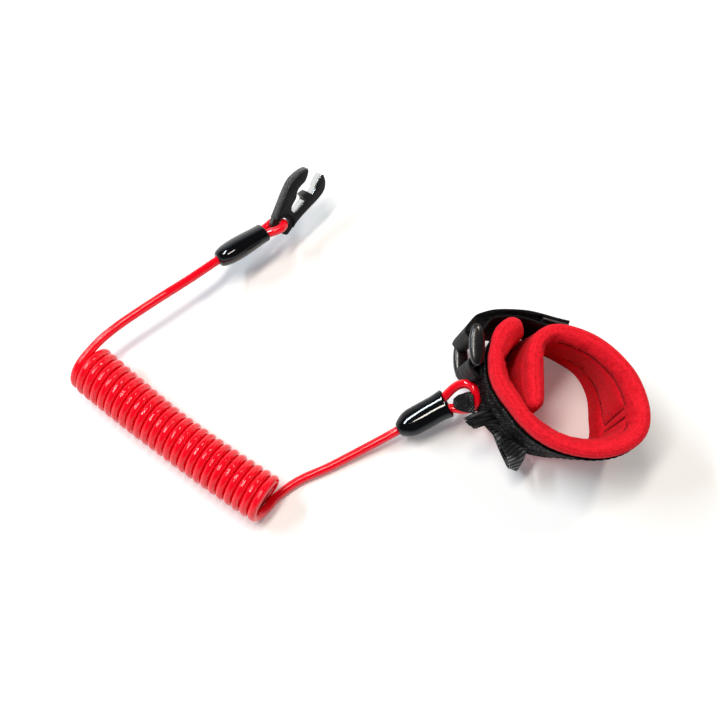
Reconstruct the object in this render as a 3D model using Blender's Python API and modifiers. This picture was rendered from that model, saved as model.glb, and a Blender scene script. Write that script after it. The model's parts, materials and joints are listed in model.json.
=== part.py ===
"""Engine kill switch lanyard: forked key clip, coiled cord and padded wrist cuff, as it lies on the floor.

Lengths are written in millimetres and turned into metres by at(). +Z is up and the floor is z = 0.
"""

import math

import bpy
import bmesh
from mathutils import Matrix, Vector

MM = 0.001
FRAME_ORIGIN = (25.05, 12.8)  # middle of the solid pieces, which becomes x = 0, y = 0
GAP = 0.3  # free space between neighbouring pieces

# Cord
CORD_D = 3.9
CORD_R = CORD_D / 2
COIL_TURNS = 24.5
COIL_PITCH = 4.05
COIL_R = 8.8  # from the coil's axis to the middle of the cord
COIL_OUTER = COIL_R + CORD_R
COIL_START = (-117.75, -6.6)
COIL_AXIS = Vector((0.801, -0.599, 0.0))

# Soft band and webbing
PAD_T = 6.5
PAD_H = 46.0
PAD_ROUND = 2.9
TAPE_T = 1.1
TAPE_LOW = 8.0
TAPE_HIGH = 38.0
TACK_T = 0.5  # blocks of stitching thread
BASE_OFFSET = PAD_T / 2 + GAP + TAPE_T / 2

# Ring buckle
BAR_R = 1.7
BAR_SPACING = 13.7
RING_PIVOT_DEG = 3.0
RING_END_LEN = 17.4
RING_END_DEEP = 6.6
RING_END_TALL = 3.8
RING_ROUND = 1.8
RING_PLAY = 1.1  # between the edge of the tape and the ring's end bar
TAPE_HALF = (TAPE_HIGH - TAPE_LOW) / 2
RING_HALF = TAPE_HALF + RING_PLAY + RING_END_TALL / 2  # from the ring's middle to the middle of each end bar
RING_SWING = BAR_SPACING * math.sin(math.radians(RING_PIVOT_DEG))
ANCHOR_R = BAR_R + GAP + TAPE_T / 2
STRAP_R = ANCHOR_R + RING_SWING + GAP
RING_WALL = (56.2, -11.9)  # middle of the wall's top edge beside the near bar
RING_WALL_LEAN = 4.5
BAR_OFFSET = BASE_OFFSET + TAPE_T + GAP + ANCHOR_R

# Sleeves and the crimp ferrules inside them
STRAND_HALF = CORD_R + GAP / 2
FERRULE_WALL = 0.5
FERRULE_IN = CORD_R + GAP
FERRULE_OUT = FERRULE_IN + FERRULE_WALL
SLEEVE_WALL = 0.8
SLEEVE_IN = FERRULE_OUT + GAP
SLEEVE_OUT = SLEEVE_IN + SLEEVE_WALL
SLEEVE_HOLE = CORD_R + GAP
MOUTH_FLARE = 0.5
FERRULE_FROM = 8.0
FERRULE_TO = 18.5

# Key clip
KEY_T = 6.5
LUG_T = 3.4
EYE_R = 2.45
DISH_R = 4.2
KEY_EYE = Vector((-34.7, 59.3, 17.0))
KEY_N = Vector((0.454, -0.571, 0.685)).normalized()
KEY_L = Vector((0.479, 0.804, 0.353)).normalized()

KEY_SLEEVE_A = Vector((-62.8, 40.4, 18.0))
KEY_SLEEVE_B = Vector((-43.1, 54.7, 16.7))
CUFF_SLEEVE_A = Vector((16.5, -34.4, 7.0))
CUFF_SLEEVE_B = Vector((36.8, -24.75, 14.5))

# Middle line of the pad at its top edge: x, y and how far the top leans out past the bottom
PAD_LINE = [
    (66.2, 1.9, -3.8),
    (60.8, -3.2, -4.0),
    (56.9, -10.5, -4.3),
    (56.2, -16.0, -4.5),
    (56.6, -21.5, -3.9),
    (58.6, -27.0, -2.7),
    (62.2, -33.0, -1.0),
    (66.6, -40.0, 2.0),
    (72.5, -46.3, 7.0),
    (80.5, -50.8, 11.0),
    (92.0, -53.3, 12.5),
    (102.5, -50.7, 11.0),
    (109.0, -44.5, 9.0),
    (111.2, -35.5, 7.5),
    (108.8, -24.0, 4.0),
    (102.5, -15.5, -2.0),
    (94.5, -9.2, -6.0),
    (85.5, -5.2, -8.0),
    (78.4, -5.2, -6.0),
    (73.4, -8.8, -3.5),
    (70.8, -14.0, -3.5),
    (69.8, -20.0, -3.5),
    (70.2, -27.0, -2.5),
    (71.6, -33.0, -2.0),
]

# Key clip outline in its own plane, from the eye: across, along
KEY_OUTLINE = [
    (3.4, -4.0),
    (4.8, -1.5),
    (5.4, 2.5),
    (7.9, 11.0),
    (9.7, 17.7),
    (9.9, 21.7),
    (9.0, 25.2),
    (6.8, 27.6),
    (5.2, 27.6),
    (4.3, 26.3),
    (4.6, 22.1),
    (5.1, 20.5),
    (5.2, 17.9),
    (2.6, 17.6),
    (1.2, 14.9),
    (3.4, 13.4),
    (2.3, 7.6),
    (1.6, 6.2),
    (0.2, 6.4),
    (-0.4, 8.2),
    (-0.4, 13.0),
    (-1.4, 15.6),
    (-0.8, 18.5),
    (-0.2, 20.8),
    (-0.8, 24.6),
    (-1.6, 26.0),
    (-3.2, 26.0),
    (-3.8, 23.3),
    (-5.4, 18.8),
    (-6.2, 15.7),
    (-6.6, 13.0),
    (-6.3, 10.0),
    (-5.7, 6.5),
    (-5.2, 1.0),
    (-5.1, -2.4),
    (-3.4, -4.4),
]

COLOURS = {
    "cord_red": (0.90, 0.01, 0.02, 1.0),
    "knit_red": (0.75, 0.02, 0.04, 1.0),
    "pvc_black": (0.012, 0.012, 0.013, 1.0),
    "plastic_black": (0.016, 0.016, 0.017, 1.0),
    "webbing_black": (0.02, 0.02, 0.021, 1.0),
    "thread_black": (0.03, 0.03, 0.031, 1.0),
    "hook_black": (0.025, 0.025, 0.026, 1.0),
    "ferrule_grey": (0.60, 0.61, 0.63, 1.0),
}


def at(x, y, z):
    """A point of the layout, in metres in the part's own frame."""
    return Vector(((x - FRAME_ORIGIN[0]) * MM, (y - FRAME_ORIGIN[1]) * MM, z * MM))


def at_point(point):
    return at(point[0], point[1], point[2])


def clear_scene():
    for obj in list(bpy.data.objects):
        bpy.data.objects.remove(obj, do_unlink=True)


def new_collection(name):
    collection = bpy.data.collections.new(name)
    bpy.context.scene.collection.children.link(collection)
    return collection


def material(name):
    found = bpy.data.materials.get(name)
    if found:
        return found
    made = bpy.data.materials.new(name)
    made.use_nodes = True
    shader = made.node_tree.nodes["Principled BSDF"]
    shader.inputs["Base Color"].default_value = COLOURS[name]
    shader.inputs["Roughness"].default_value = 0.45
    return made


def mesh_object(name, verts, faces, colour, collection):
    """A mesh object with its faces turned outwards."""
    mesh = bpy.data.meshes.new(name)
    mesh.from_pydata([tuple(v) for v in verts], [], faces)
    bm = bmesh.new()
    bm.from_mesh(mesh)
    bmesh.ops.recalc_face_normals(bm, faces=bm.faces)
    bm.to_mesh(mesh)
    bm.free()
    if colour:
        mesh.materials.append(material(colour))
    obj = bpy.data.objects.new(name, mesh)
    collection.objects.link(obj)
    return obj


def smooth_line(points, per_span):
    """Points along a smooth curve that passes through every control point."""
    out = []
    last = len(points) - 1
    for i in range(last):
        p0 = points[max(i - 1, 0)]
        p1 = points[i]
        p2 = points[i + 1]
        p3 = points[min(i + 2, last)]
        for step in range(per_span):
            t = step / per_span
            out.append(tuple(
                0.5 * (2 * b + (c - a) * t + (2 * a - 5 * b + 4 * c - d) * t**2
                       + (3 * b - a - 3 * c + d) * t**3)
                for a, b, c, d in zip(p0, p1, p2, p3)))
    out.append(tuple(points[last]))
    return out


def spaced(points, step):
    """The same line with points a set distance apart."""
    line = [Vector(p) for p in points]
    lengths = [0.0]
    for a, b in zip(line, line[1:]):
        lengths.append(lengths[-1] + (b - a).length)
    count = max(2, round(lengths[-1] / step))
    out = []
    j = 0
    for i in range(count + 1):
        want = lengths[-1] * i / count
        while j < len(line) - 2 and lengths[j + 1] < want:
            j += 1
        share = (want - lengths[j]) / max(lengths[j + 1] - lengths[j], 1e-9)
        out.append(line[j].lerp(line[j + 1], share))
    return out


def band(name, edge_a, edge_b, thickness, rounding, segments, colour, collection):
    """A sheet between two edge lines, given its thickness and rounded along its edges."""
    verts = []
    for a, b in zip(edge_a, edge_b):
        verts.append(at_point(a))
        verts.append(at_point(b))
    faces = [(2 * i, 2 * i + 1, 2 * i + 3, 2 * i + 2) for i in range(len(edge_a) - 1)]
    obj = mesh_object(name, verts, faces, colour, collection)
    solid = obj.modifiers.new("thickness", "SOLIDIFY")
    solid.thickness = thickness * MM
    solid.offset = 0.0
    solid.use_even_offset = True
    bevel = obj.modifiers.new("rounding", "BEVEL")
    bevel.width = rounding * MM
    bevel.segments = segments
    bevel.limit_method = "ANGLE"
    bevel.angle_limit = math.radians(60)
    return obj


def tube(name, points, radius, colour, collection):
    """A round cord along a line, closed at both ends."""
    curve = bpy.data.curves.new(name, "CURVE")
    curve.dimensions = "3D"
    curve.bevel_depth = radius * MM
    curve.bevel_resolution = 2
    curve.use_fill_caps = True
    spline = curve.splines.new("POLY")
    spline.points.add(len(points) - 1)
    for target, point in zip(spline.points, points):
        target.co = (*at_point(point), 1.0)
    curve.materials.append(material(colour))
    obj = bpy.data.objects.new(name, curve)
    collection.objects.link(obj)
    return obj


def stadium(centre, across, up, half, radius, arc_steps=8):
    """An oval ring of points: two half circles whose middles are 2 * half apart."""
    ring = []
    for side in (1, -1):
        for step in range(arc_steps + 1):
            angle = -math.pi / 2 + math.pi * step / arc_steps
            x = side * (half + radius * math.cos(angle))
            y = side * radius * math.sin(angle)
            ring.append(at_point(centre + across * x + up * y))
    return ring


def loft(name, rings, colour, collection):
    """A closed wall through oval rings: along the outside and back along the inside."""
    size = len(rings[0])
    verts = [point for ring in rings for point in ring]
    faces = []
    for i in range(len(rings)):
        a = i * size
        b = (i + 1) % len(rings) * size
        for j in range(size):
            k = (j + 1) % size
            faces.append((a + j, a + k, b + k, b + j))
    return mesh_object(name, verts, faces, colour, collection)


def wall_rules(line):
    """Foot and top of the pad's middle surface at each place along the line."""
    rules = []
    for i, (x, y, lean) in enumerate(line):
        before = line[max(i - 1, 0)]
        after = line[min(i + 1, len(line) - 1)]
        along = Vector((after[0] - before[0], after[1] - before[1])).normalized()
        slope = math.atan2(abs(lean), PAD_H)
        edge = 0.72 * PAD_T / 2 * math.sin(slope)  # how far the rounded edge reaches past the middle line
        top = Vector((x, y, PAD_H - edge))
        foot = Vector((x - along.y * lean, y + along.x * lean, edge))
        rules.append((foot, top))
    return rules


def leaning(line, low, high, offset):
    """Top and bottom edges of a band that follows the leaning wall, set off outwards from it."""
    rules = wall_rules(line)
    edges = []
    for height in (high, low):
        middle = [foot.lerp(top, height / PAD_H) for foot, top in rules]
        edge = []
        for i, point in enumerate(middle):
            along = middle[min(i + 1, len(middle) - 1)] - middle[max(i - 1, 0)]
            out = along.cross(rules[i][1] - rules[i][0]).normalized()
            edge.append(point + out * offset)
        edges.append(edge)
    return edges


def cut_line(line, start, end):
    """The stretch of a smooth pad line between two control points, counted from 0."""
    per_span = (len(line) - 1) / (len(PAD_LINE) - 1)
    return line[round(start * per_span):round(end * per_span) + 1]


def sleeve(name, start, end, across, collection):
    """Dipped cap over the doubled cord, domed where the single cord comes in."""
    axis = (end - start).normalized()
    length = (end - start).length
    up = axis.cross(across).normalized()
    outer = [(0.0, 0.0, 2.6), (0.6, 0.1, 3.1), (2.0, 0.7, 3.6), (4.5, 1.7, SLEEVE_OUT),
             (7.0, STRAND_HALF, SLEEVE_OUT), (length - 5.0, STRAND_HALF, SLEEVE_OUT),
             (length, STRAND_HALF + MOUTH_FLARE, SLEEVE_OUT)]
    inner = [(length, STRAND_HALF + MOUTH_FLARE, SLEEVE_IN + 0.2), (length - 5.0, STRAND_HALF, SLEEVE_IN),
             (7.0, STRAND_HALF, SLEEVE_IN),
             (4.5, 1.4, SLEEVE_IN - 0.1), (2.4, 0.2, SLEEVE_HOLE + 0.2), (0.0, 0.0, SLEEVE_HOLE)]
    rings = [stadium(start + axis * t, across, up, half, radius) for t, half, radius in outer + inner]
    return loft(name, rings, "pvc_black", collection)


def ferrule(name, start, end, across, collection):
    """Crimped oval sleeve round both strands of the cord."""
    axis = (end - start).normalized()
    up = axis.cross(across).normalized()
    stops = [(FERRULE_FROM, FERRULE_OUT), (FERRULE_TO, FERRULE_OUT),
             (FERRULE_TO, FERRULE_IN), (FERRULE_FROM, FERRULE_IN)]
    rings = [stadium(start + axis * t, across, up, STRAND_HALF, radius) for t, radius in stops]
    return loft(name, rings, "ferrule_grey", collection)


def sleeve_axes(start, end, across):
    axis = (end - start).normalized()
    square = (across - axis * across.dot(axis)).normalized()
    return axis, square


def key_cord_line():
    """Cord from the top of the coil, through the key's sleeve, through the eye and back."""
    start, end = KEY_SLEEVE_A, KEY_SLEEVE_B
    axis, across = sleeve_axes(start, end, KEY_N)
    length = (end - start).length
    reach = (KEY_EYE - end).dot(axis)
    eye = (KEY_EYE - end).dot(across)
    lift = KEY_EYE - end - axis * reach - across * eye
    run = [(-117.75, -6.6, 19.55), (-116.2, -4.4, 19.6), (-111.6, 1.3, 19.9), (-105.9, 6.6, 20.3),
           (-99.1, 12.0, 20.6), (-86.8, 21.0, 20.9), (-75.5, 29.7, 19.8), (-68.0, 36.0, 18.7)]
    points = [Vector(p) for p in run]
    for t, off in ((0, 0), (3, -0.5), (7, -STRAND_HALF), (12, -STRAND_HALF), (18, -STRAND_HALF),
                   (length - 2, -STRAND_HALF - 0.1)):
        points.append(start + axis * t + across * off)
    loop = [(-6.2, -3.9), (-3.2, -4.6), (-1.3, -3.9), (-0.2, -2.2), (0, 0), (-0.2, 2.2), (-1.3, 3.9),
            (-3.2, 4.6), (-6.2, 3.7)]
    for t, off in loop:
        points.append(end + lift + axis * (reach + t) + across * (eye + off))
    for t in (length - 2, 17, 12, 7.4):
        points.append(start + axis * t + across * STRAND_HALF)
    return points


def cuff_cord_line():
    """Cord from the foot of the coil, through the cuff's sleeve, the tether loop and back."""
    start, end = CUFF_SLEEVE_A, CUFF_SLEEVE_B
    axis, across = sleeve_axes(start, end, Vector((-0.43, 0.90, 0.0)))
    length = (end - start).length
    run = [(-38.3, -66.0, 1.97), (-35.6, -62.6, 1.97), (-29.5, -57.6, 1.97), (-23.4, -54.0, 2.0),
           (-14.0, -49.9, 2.3), (-4.3, -45.0, 3.2), (6.0, -39.8, 4.8), (12.0, -36.7, 5.8)]
    points = [Vector(p) for p in run]
    for t, off in ((0, 0), (3, 0.5), (7, STRAND_HALF), (12, STRAND_HALF), (18, STRAND_HALF),
                   (length - 1.5, STRAND_HALF + 0.1)):
        points.append(start + axis * t + across * off)
    loop = [(38.3, -19.9, 16.3), (41.8, -18.0, 18.6), (45.3, -18.8, 20.4), (47.1, -21.4, 20.9),
            (47.6, -24.5, 19.8), (46.9, -27.3, 17.8), (45.3, -29.2, 16.3), (43.0, -28.8, 15.6),
            (40.7, -27.9, 15.2), (38.9, -26.9, 14.8)]
    points += [Vector(p) for p in loop]
    for t, off in ((length - 1.0, -STRAND_HALF - 0.2), (17, -STRAND_HALF), (12, -STRAND_HALF),
                   (7.4, -STRAND_HALF)):
        points.append(start + axis * t + across * off)
    return points


def cords(collection):
    for name, line in (("cord_key_run", key_cord_line()), ("cord_cuff_run", cuff_cord_line())):
        dense = smooth_line([tuple(p) for p in line], 12)
        tube(name, spaced(dense, 2.3), CORD_R, "cord_red", collection)


def coil(collection):
    """The coiled stretch as one hollow tube of the coil's own diameter."""
    length = COIL_TURNS * COIL_PITCH
    side = COIL_AXIS.cross(Vector((0, 0, 1))).normalized()
    start = Vector((COIL_START[0], COIL_START[1], COIL_OUTER))
    inside = COIL_R - CORD_R
    rings = []
    for t, radius in ((0, COIL_OUTER), (1, COIL_OUTER), (1, inside), (0, inside)):
        clear = CORD_R + GAP
        place = start + COIL_AXIS * (clear + t * (length - 2 * clear))
        rings.append(stadium(place, side, Vector((0, 0, 1)), 0.0, radius, 20))
    return loft("cord_coil", rings, "cord_red", collection)


def key_matrix():
    across = KEY_L.cross(KEY_N).normalized()
    turn = Matrix((across, KEY_L, KEY_N)).transposed().to_4x4()
    return Matrix.Translation(at_point(KEY_EYE)) @ turn


def prism(name, outline, low, high, colour, collection):
    """A plate of the given outline between two heights."""
    count = len(outline)
    verts = [(x * MM, y * MM, low * MM) for x, y in outline]
    verts += [(x * MM, y * MM, high * MM) for x, y in outline]
    faces = [tuple(range(count)), tuple(range(count, 2 * count))]
    for i in range(count):
        j = (i + 1) % count
        faces.append((i, j, count + j, count + i))
    return mesh_object(name, verts, faces, colour, collection)


def disc(radius, count=32):
    return [(radius * math.cos(2 * math.pi * i / count), radius * math.sin(2 * math.pi * i / count))
            for i in range(count)]


def cut(obj, cutter):
    boolean = obj.modifiers.new(cutter.name, "BOOLEAN")
    boolean.operation = "DIFFERENCE"
    boolean.solver = "EXACT"
    boolean.object = cutter


def key_clip(collection, cutters):
    """Forked clip: a plate with an eye, thinned round the eye so that the cord loop can pass."""
    plate = prism("key_clip", KEY_OUTLINE, -KEY_T / 2, KEY_T / 2, "plastic_black", collection)
    plate.matrix_world = key_matrix()
    bevel = plate.modifiers.new("edges", "BEVEL")
    bevel.width = 0.45 * MM
    bevel.segments = 2
    bevel.limit_method = "ANGLE"
    bevel.angle_limit = math.radians(50)
    over = KEY_T / 2 + 1
    lug = LUG_T / 2
    foot = [(-9, -9), (9, -9), (9, -1.0), (-9, -1.0)]
    shapes = [("eye", disc(EYE_R), -over, over),
              ("dish_top", disc(DISH_R), lug, over), ("dish_back", disc(DISH_R), -over, -lug),
              ("foot_top", foot, lug, over), ("foot_back", foot, -over, -lug)]
    for name, outline, low, high in shapes:
        cutter = prism(name, outline, low, high, None, cutters)
        cutter.matrix_world = key_matrix()
        cut(plate, cutter)


def pad_and_base(line, collection):
    """The padded band and the webbing sewn round its outside."""
    top, bottom = leaning(line, 0.0, PAD_H, 0.0)
    band("cuff_pad", top, bottom, PAD_T, PAD_ROUND, 3, "knit_red", collection)
    stretch = cut_line(line, 2.6, 16.0)
    top, bottom = leaning(stretch, TAPE_LOW, TAPE_HIGH, BASE_OFFSET)
    band("base_webbing", top, bottom, TAPE_T, 0.3, 1, "webbing_black", collection)


# Ring frame: the near bar is the pivot; it leans with the wall and lies a little askew on it
RING_MIDDLE = 22.5
RING_UP = Vector((0.098, -0.187, 1.0)).normalized()
RING_N = (Vector((-1.0, 0.0, 0.0)) + RING_UP * RING_UP.x).normalized()
RING_ALONG = RING_N.cross(RING_UP).normalized()
RING_ORIGIN = Vector((RING_WALL[0] - RING_WALL_LEAN * (1 - RING_MIDDLE / PAD_H) - BAR_OFFSET,
                      RING_WALL[1], RING_MIDDLE))


def ring_point(t, n, up):
    """A layout point from ring coordinates: along the wall, outwards and along the bars."""
    return RING_ORIGIN + RING_ALONG * t + RING_N * n + RING_UP * up


def ring_edges(path):
    top = [ring_point(t, n, TAPE_HALF) for t, n in path]
    bottom = [ring_point(t, n, -TAPE_HALF) for t, n in path]
    return top, bottom


def arc(centre, radius, start, end, steps):
    out = []
    for i in range(steps + 1):
        angle = math.radians(start + (end - start) * i / steps)
        out.append((centre[0] + radius * math.cos(angle), centre[1] + radius * math.sin(angle)))
    return out


def ring_buckle(collection, cutters):
    """Moulded ring: two swollen end bars joined by two round bars."""
    turn = Matrix((RING_ALONG, RING_N, RING_UP)).transposed().to_4x4()
    matrix = Matrix.Translation(at_point(RING_ORIGIN)) @ turn
    pieces = []
    for name, side in (("ring_buckle", 1), ("ring_end", -1)):
        x, y, z = RING_END_LEN / 2, RING_END_DEEP / 2, RING_END_TALL / 2
        middle = BAR_SPACING / 2
        outline = [(middle - x, -y), (middle + x, -y), (middle + x, y), (middle - x, y)]
        home = collection if side == 1 else cutters
        piece = prism(name, outline, side * RING_HALF - z, side * RING_HALF + z, "plastic_black", home)
        rounding = piece.modifiers.new("rounding", "BEVEL")
        rounding.width = RING_ROUND * MM
        rounding.segments = 4
        pieces.append(piece)
    for name, x in (("ring_near_bar", 0.0), ("ring_far_bar", BAR_SPACING)):
        outline = [(x + px, py) for px, py in disc(BAR_R, 20)]
        pieces.append(prism(name, outline, -RING_HALF, RING_HALF, "plastic_black", cutters))
    for piece in pieces:
        piece.matrix_world = matrix
    for other in pieces[1:]:
        join = pieces[0].modifiers.new(other.name, "BOOLEAN")
        join.operation = "UNION"
        join.solver = "EXACT"
        join.object = other


def ring_anchor(collection):
    """Webbing folded round the ring's near bar and sewn to itself."""
    r = ANCHOR_R
    path = [(-5.6, -r), (-2.8, -r)]
    path += arc((0, 0), r, -90, 90, 12)
    path += [(-1.3, 2.2), (-2.6, 1.3), (-4.2, -0.1), (-5.6, -r + TAPE_T + GAP)]
    path = [tuple(p) for p in spaced([(t, n, 0) for t, n in path], 0.6)]
    top, bottom = ring_edges([(p[0], p[1]) for p in path])
    band("ring_anchor", top, bottom, TAPE_T, 0.25, 1, "webbing_black", collection)
    stitches = [(-5.95, 0.05), (-5.35, 0.5), (-4.75, 0.95)]
    top = [ring_point(t, n, TAPE_HALF - 2) for t, n in stitches]
    bottom = [ring_point(t, n, 2.5) for t, n in stitches]
    band("anchor_bartack", top, bottom, TACK_T, 0.1, 1, "thread_black", collection)


# Free stretches of the strap: x and y of its upper edge, the shift from there to its lower edge, and lift
STRAP_INNER = [(76.5, 1.9, -0.4, 4.0, 0.0), (70.5, 3.9, -0.5, 3.0, 0.3), (64.5, 5.2, -0.6, 2.4, 0.8),
               (59.0, 5.0, -1.0, 2.6, 1.5), (54.0, 3.2, -2.0, 4.2, 2.4)]
STRAP_OUTER = [(47.4, 3.9, -2.6, 4.6, 3.0), (51.5, 6.1, -1.7, 3.3, 2.4), (56.5, 7.5, -1.0, 2.4, 1.7),
               (63.0, 7.9, -0.6, 2.2, 0.9), (69.5, 7.6, -0.5, 2.8, 0.3), (75.0, 6.4, 0.0, 4.0, 0.0),
               (81.0, 4.5, 0.3, 5.0, 0.0), (86.6, 3.0, 0.6, 5.3, 0.0)]
HOOK_T = 0.9
HOOK_OFFSET = TAPE_T / 2 + GAP + HOOK_T / 2


def free_rows(table):
    return [((x, y, TAPE_HIGH + lift), (x + dx, y + dy, TAPE_LOW + lift)) for x, y, dx, dy, lift in table]


def smooth_edges(rows, per_span):
    """Two smooth edge lines from pairs of upper and lower points."""
    dense = smooth_line([tuple(high) + tuple(low) for high, low in rows], per_span)
    return [Vector(row[:3]) for row in dense], [Vector(row[3:]) for row in dense]


def cinch_strap(line, collection):
    """Strap from the far wall, through the ring and folded back over itself, with its hook patch."""
    high, low = leaning(line, TAPE_LOW, TAPE_HIGH, BASE_OFFSET)
    per_span = (len(line) - 1) / (len(PAD_LINE) - 1)
    rows = []
    for place in (16.25, 16.6, 17.0, 17.45):
        i = round(place * per_span)
        rows.append((high[i], low[i]))
    rows += free_rows(STRAP_INNER)
    far, r = BAR_SPACING, STRAP_R
    for t, n in [(far, -r)] + arc((far, 0), r, -120, -240, 4) + [(far, r)]:
        rows.append((ring_point(t, n, TAPE_HALF), ring_point(t, n, -TAPE_HALF)))
    rows += free_rows(STRAP_OUTER)
    upper, lower = smooth_edges(rows, 5)
    band("cinch_strap", upper, lower, TAPE_T, 0.25, 1, "webbing_black", collection)
    patch = []
    for high_point, low_point in free_rows(STRAP_OUTER[-3:]):
        patch.append((Vector(high_point), Vector(low_point)))
    shifted = []
    for i, (high_point, low_point) in enumerate(patch):
        along = patch[min(i + 1, 2)][0] - patch[max(i - 1, 0)][0]
        out = along.cross(high_point - low_point).normalized() * HOOK_OFFSET
        if out.y > 0:
            out = -out
        shifted.append((high_point + out, low_point + out))
    upper, lower = smooth_edges(shifted, 4)
    band("hook_patch", upper[1:], lower[1:], HOOK_T, 0.2, 1, "hook_black", collection)


def strip(name, edge_a, edge_b, collection, per_span=5):
    """A webbing strip between two smooth edge lines."""
    rows = [tuple(a) + tuple(b) for a, b in zip(edge_a, edge_b)]
    dense = smooth_line(rows, per_span)
    line_a = [row[:3] for row in dense]
    line_b = [row[3:] for row in dense]
    return band(name, line_a, line_b, TAPE_T, 0.25, 1, "webbing_black", collection)


def tether_loop(collection):
    """Narrow webbing eye that stands out from the wall and holds the cord's loop."""
    rise = Vector((-0.40, -0.39, 0.83)).normalized()
    width = Vector((-0.25, -0.90, 0.0))
    width = (width - rise * width.dot(rise)).normalized()
    tip = width.cross(rise).normalized()
    middle = Vector((46.5, -24.5, 18.9))
    half = 2.9
    reach = 4.9
    r = CORD_R + GAP + TAPE_T / 2 + 0.45
    bight = [(reach - 2.6, r), (reach - 1.0, r * 0.8), (reach - 0.2, r * 0.4), (reach, 0),
             (reach - 0.2, -r * 0.4), (reach - 1.0, -r * 0.8), (reach - 2.6, -r)]
    edges = []
    for side, root in ((-1, -0.6), (1, -2.2)):
        path = [(root, r - 0.2), (1.2, r)] + bight + [(1.2, -r), (root, -r + 0.2)]
        edges.append([middle + width * side * half + tip * a + rise * b for a, b in path])
    strip("tether_loop", edges[0], edges[1], collection)
    over = r + TAPE_T / 2 + GAP + TACK_T / 2
    edges = []
    for side in (-1, 1):
        edges.append([middle + width * side * 2.3 + tip * a + rise * over for a in (0.9, 1.4, 1.9)])
    band("tether_bartack", edges[0], edges[1], TACK_T, 0.1, 1, "thread_black", collection)


# Edges of the cut end of webbing, from its root outwards
TAIL_FAR = [(53.4, -31.4, 27.5), (50.5, -32.2, 28.6), (46.5, -33.4, 28.0), (42.6, -34.9, 26.4)]
TAIL_NEAR = [(57.4, -39.2, 26.5), (54.8, -39.3, 27.6), (51.4, -39.5, 27.2), (47.4, -40.0, 25.6)]


def webbing_tail(collection):
    """Cut end of the webbing that stands out below the tether loop."""
    strip("webbing_tail", TAIL_FAR, TAIL_NEAR, collection)


# Edges of the pull tab's webbing, from its upper root round the tip to its lower root
TAB_LEFT = [(56.5, -37.9, 20.4), (57.0, -43.4, 22.6), (58.2, -49.4, 21.8), (60.0, -54.0, 18.8), (60.6, -55.9, 15.8),
            (60.2, -54.4, 12.9), (58.8, -49.8, 10.6), (57.6, -43.6, 9.9), (57.0, -38.6, 10.4)]
TAB_RIGHT = [(68.8, -46.7, 17.0), (68.4, -49.0, 17.9), (67.2, -52.2, 17.4), (65.2, -55.2, 15.0), (64.6, -56.2, 12.6),
             (65.0, -55.4, 10.0), (66.8, -52.4, 8.0), (68.2, -49.2, 7.0), (69.0, -46.9, 7.4)]


def pull_tab(collection):
    """Teardrop loop of webbing at the foot of the cuff."""
    strip("pull_tab", TAB_LEFT, TAB_RIGHT, collection)
    rows = [(Vector(a), Vector(b)) for a, b in zip(TAB_LEFT[1:3], TAB_RIGHT[1:3])]
    out = (rows[0][1] - rows[0][0]).cross(rows[1][0] - rows[0][0]).normalized()
    if out.z < 0:
        out = -out
    out = out * (TAPE_T / 2 + GAP + TACK_T / 2 + 0.15)
    edges = [[], []]
    for share in (0.25, 0.4, 0.55):
        a = rows[0][0].lerp(rows[1][0], share)
        b = rows[0][1].lerp(rows[1][1], share)
        edges[0].append(a.lerp(b, 0.15) + out)
        edges[1].append(a.lerp(b, 0.85) + out)
    band("tab_bartack", edges[0], edges[1], TACK_T, 0.1, 1, "thread_black", collection)


def build():
    clear_scene()
    parts = new_collection("kill_switch_lanyard")
    cutters = new_collection("cutters")
    cutters.hide_render = True
    line = smooth_line(PAD_LINE, 4)
    cords(parts)
    coil(parts)
    key_clip(parts, cutters)
    for name, start, end, across in (("key", KEY_SLEEVE_A, KEY_SLEEVE_B, KEY_N),
                                     ("cuff", CUFF_SLEEVE_A, CUFF_SLEEVE_B, Vector((-0.43, 0.90, 0.0)))):
        _, square = sleeve_axes(start, end, across)
        sleeve(name + "_sleeve", start, end, square, parts)
        ferrule(name + "_ferrule", start, end, square, parts)
    pad_and_base(line, parts)
    ring_buckle(parts, cutters)
    ring_anchor(parts)
    cinch_strap(line, parts)
    tether_loop(parts)
    webbing_tail(parts)
    pull_tab(parts)
    for cutter in cutters.objects:
        cutter.hide_render = True
        cutter.display_type = "WIRE"


build()
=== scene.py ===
"""Looks of the kill switch lanyard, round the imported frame: finishes, coiled cord and soft cuff.

Layout points are in millimetres, as in the part's source, and at() turns them into metres in the row frame.
"""

import json
import math
from bisect import bisect_left

import bmesh
import bpy
from mathutils import Matrix, Vector, noise


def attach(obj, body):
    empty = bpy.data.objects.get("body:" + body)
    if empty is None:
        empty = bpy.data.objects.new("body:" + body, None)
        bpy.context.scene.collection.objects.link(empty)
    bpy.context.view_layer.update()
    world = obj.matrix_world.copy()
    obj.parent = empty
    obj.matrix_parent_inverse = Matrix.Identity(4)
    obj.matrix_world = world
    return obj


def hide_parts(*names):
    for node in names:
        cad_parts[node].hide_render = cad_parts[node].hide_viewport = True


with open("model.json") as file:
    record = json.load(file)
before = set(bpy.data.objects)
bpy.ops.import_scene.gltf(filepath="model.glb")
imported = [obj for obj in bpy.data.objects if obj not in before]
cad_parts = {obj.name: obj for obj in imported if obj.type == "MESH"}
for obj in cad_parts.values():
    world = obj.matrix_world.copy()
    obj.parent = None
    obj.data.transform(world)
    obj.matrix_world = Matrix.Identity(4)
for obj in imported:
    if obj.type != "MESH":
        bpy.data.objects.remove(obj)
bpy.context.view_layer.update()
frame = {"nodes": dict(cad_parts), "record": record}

MM = 0.001
FRAME_ORIGIN = (25.05, 12.8)
GAP = 0.3
UP = Vector((0.0, 0.0, 1.0))

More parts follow.
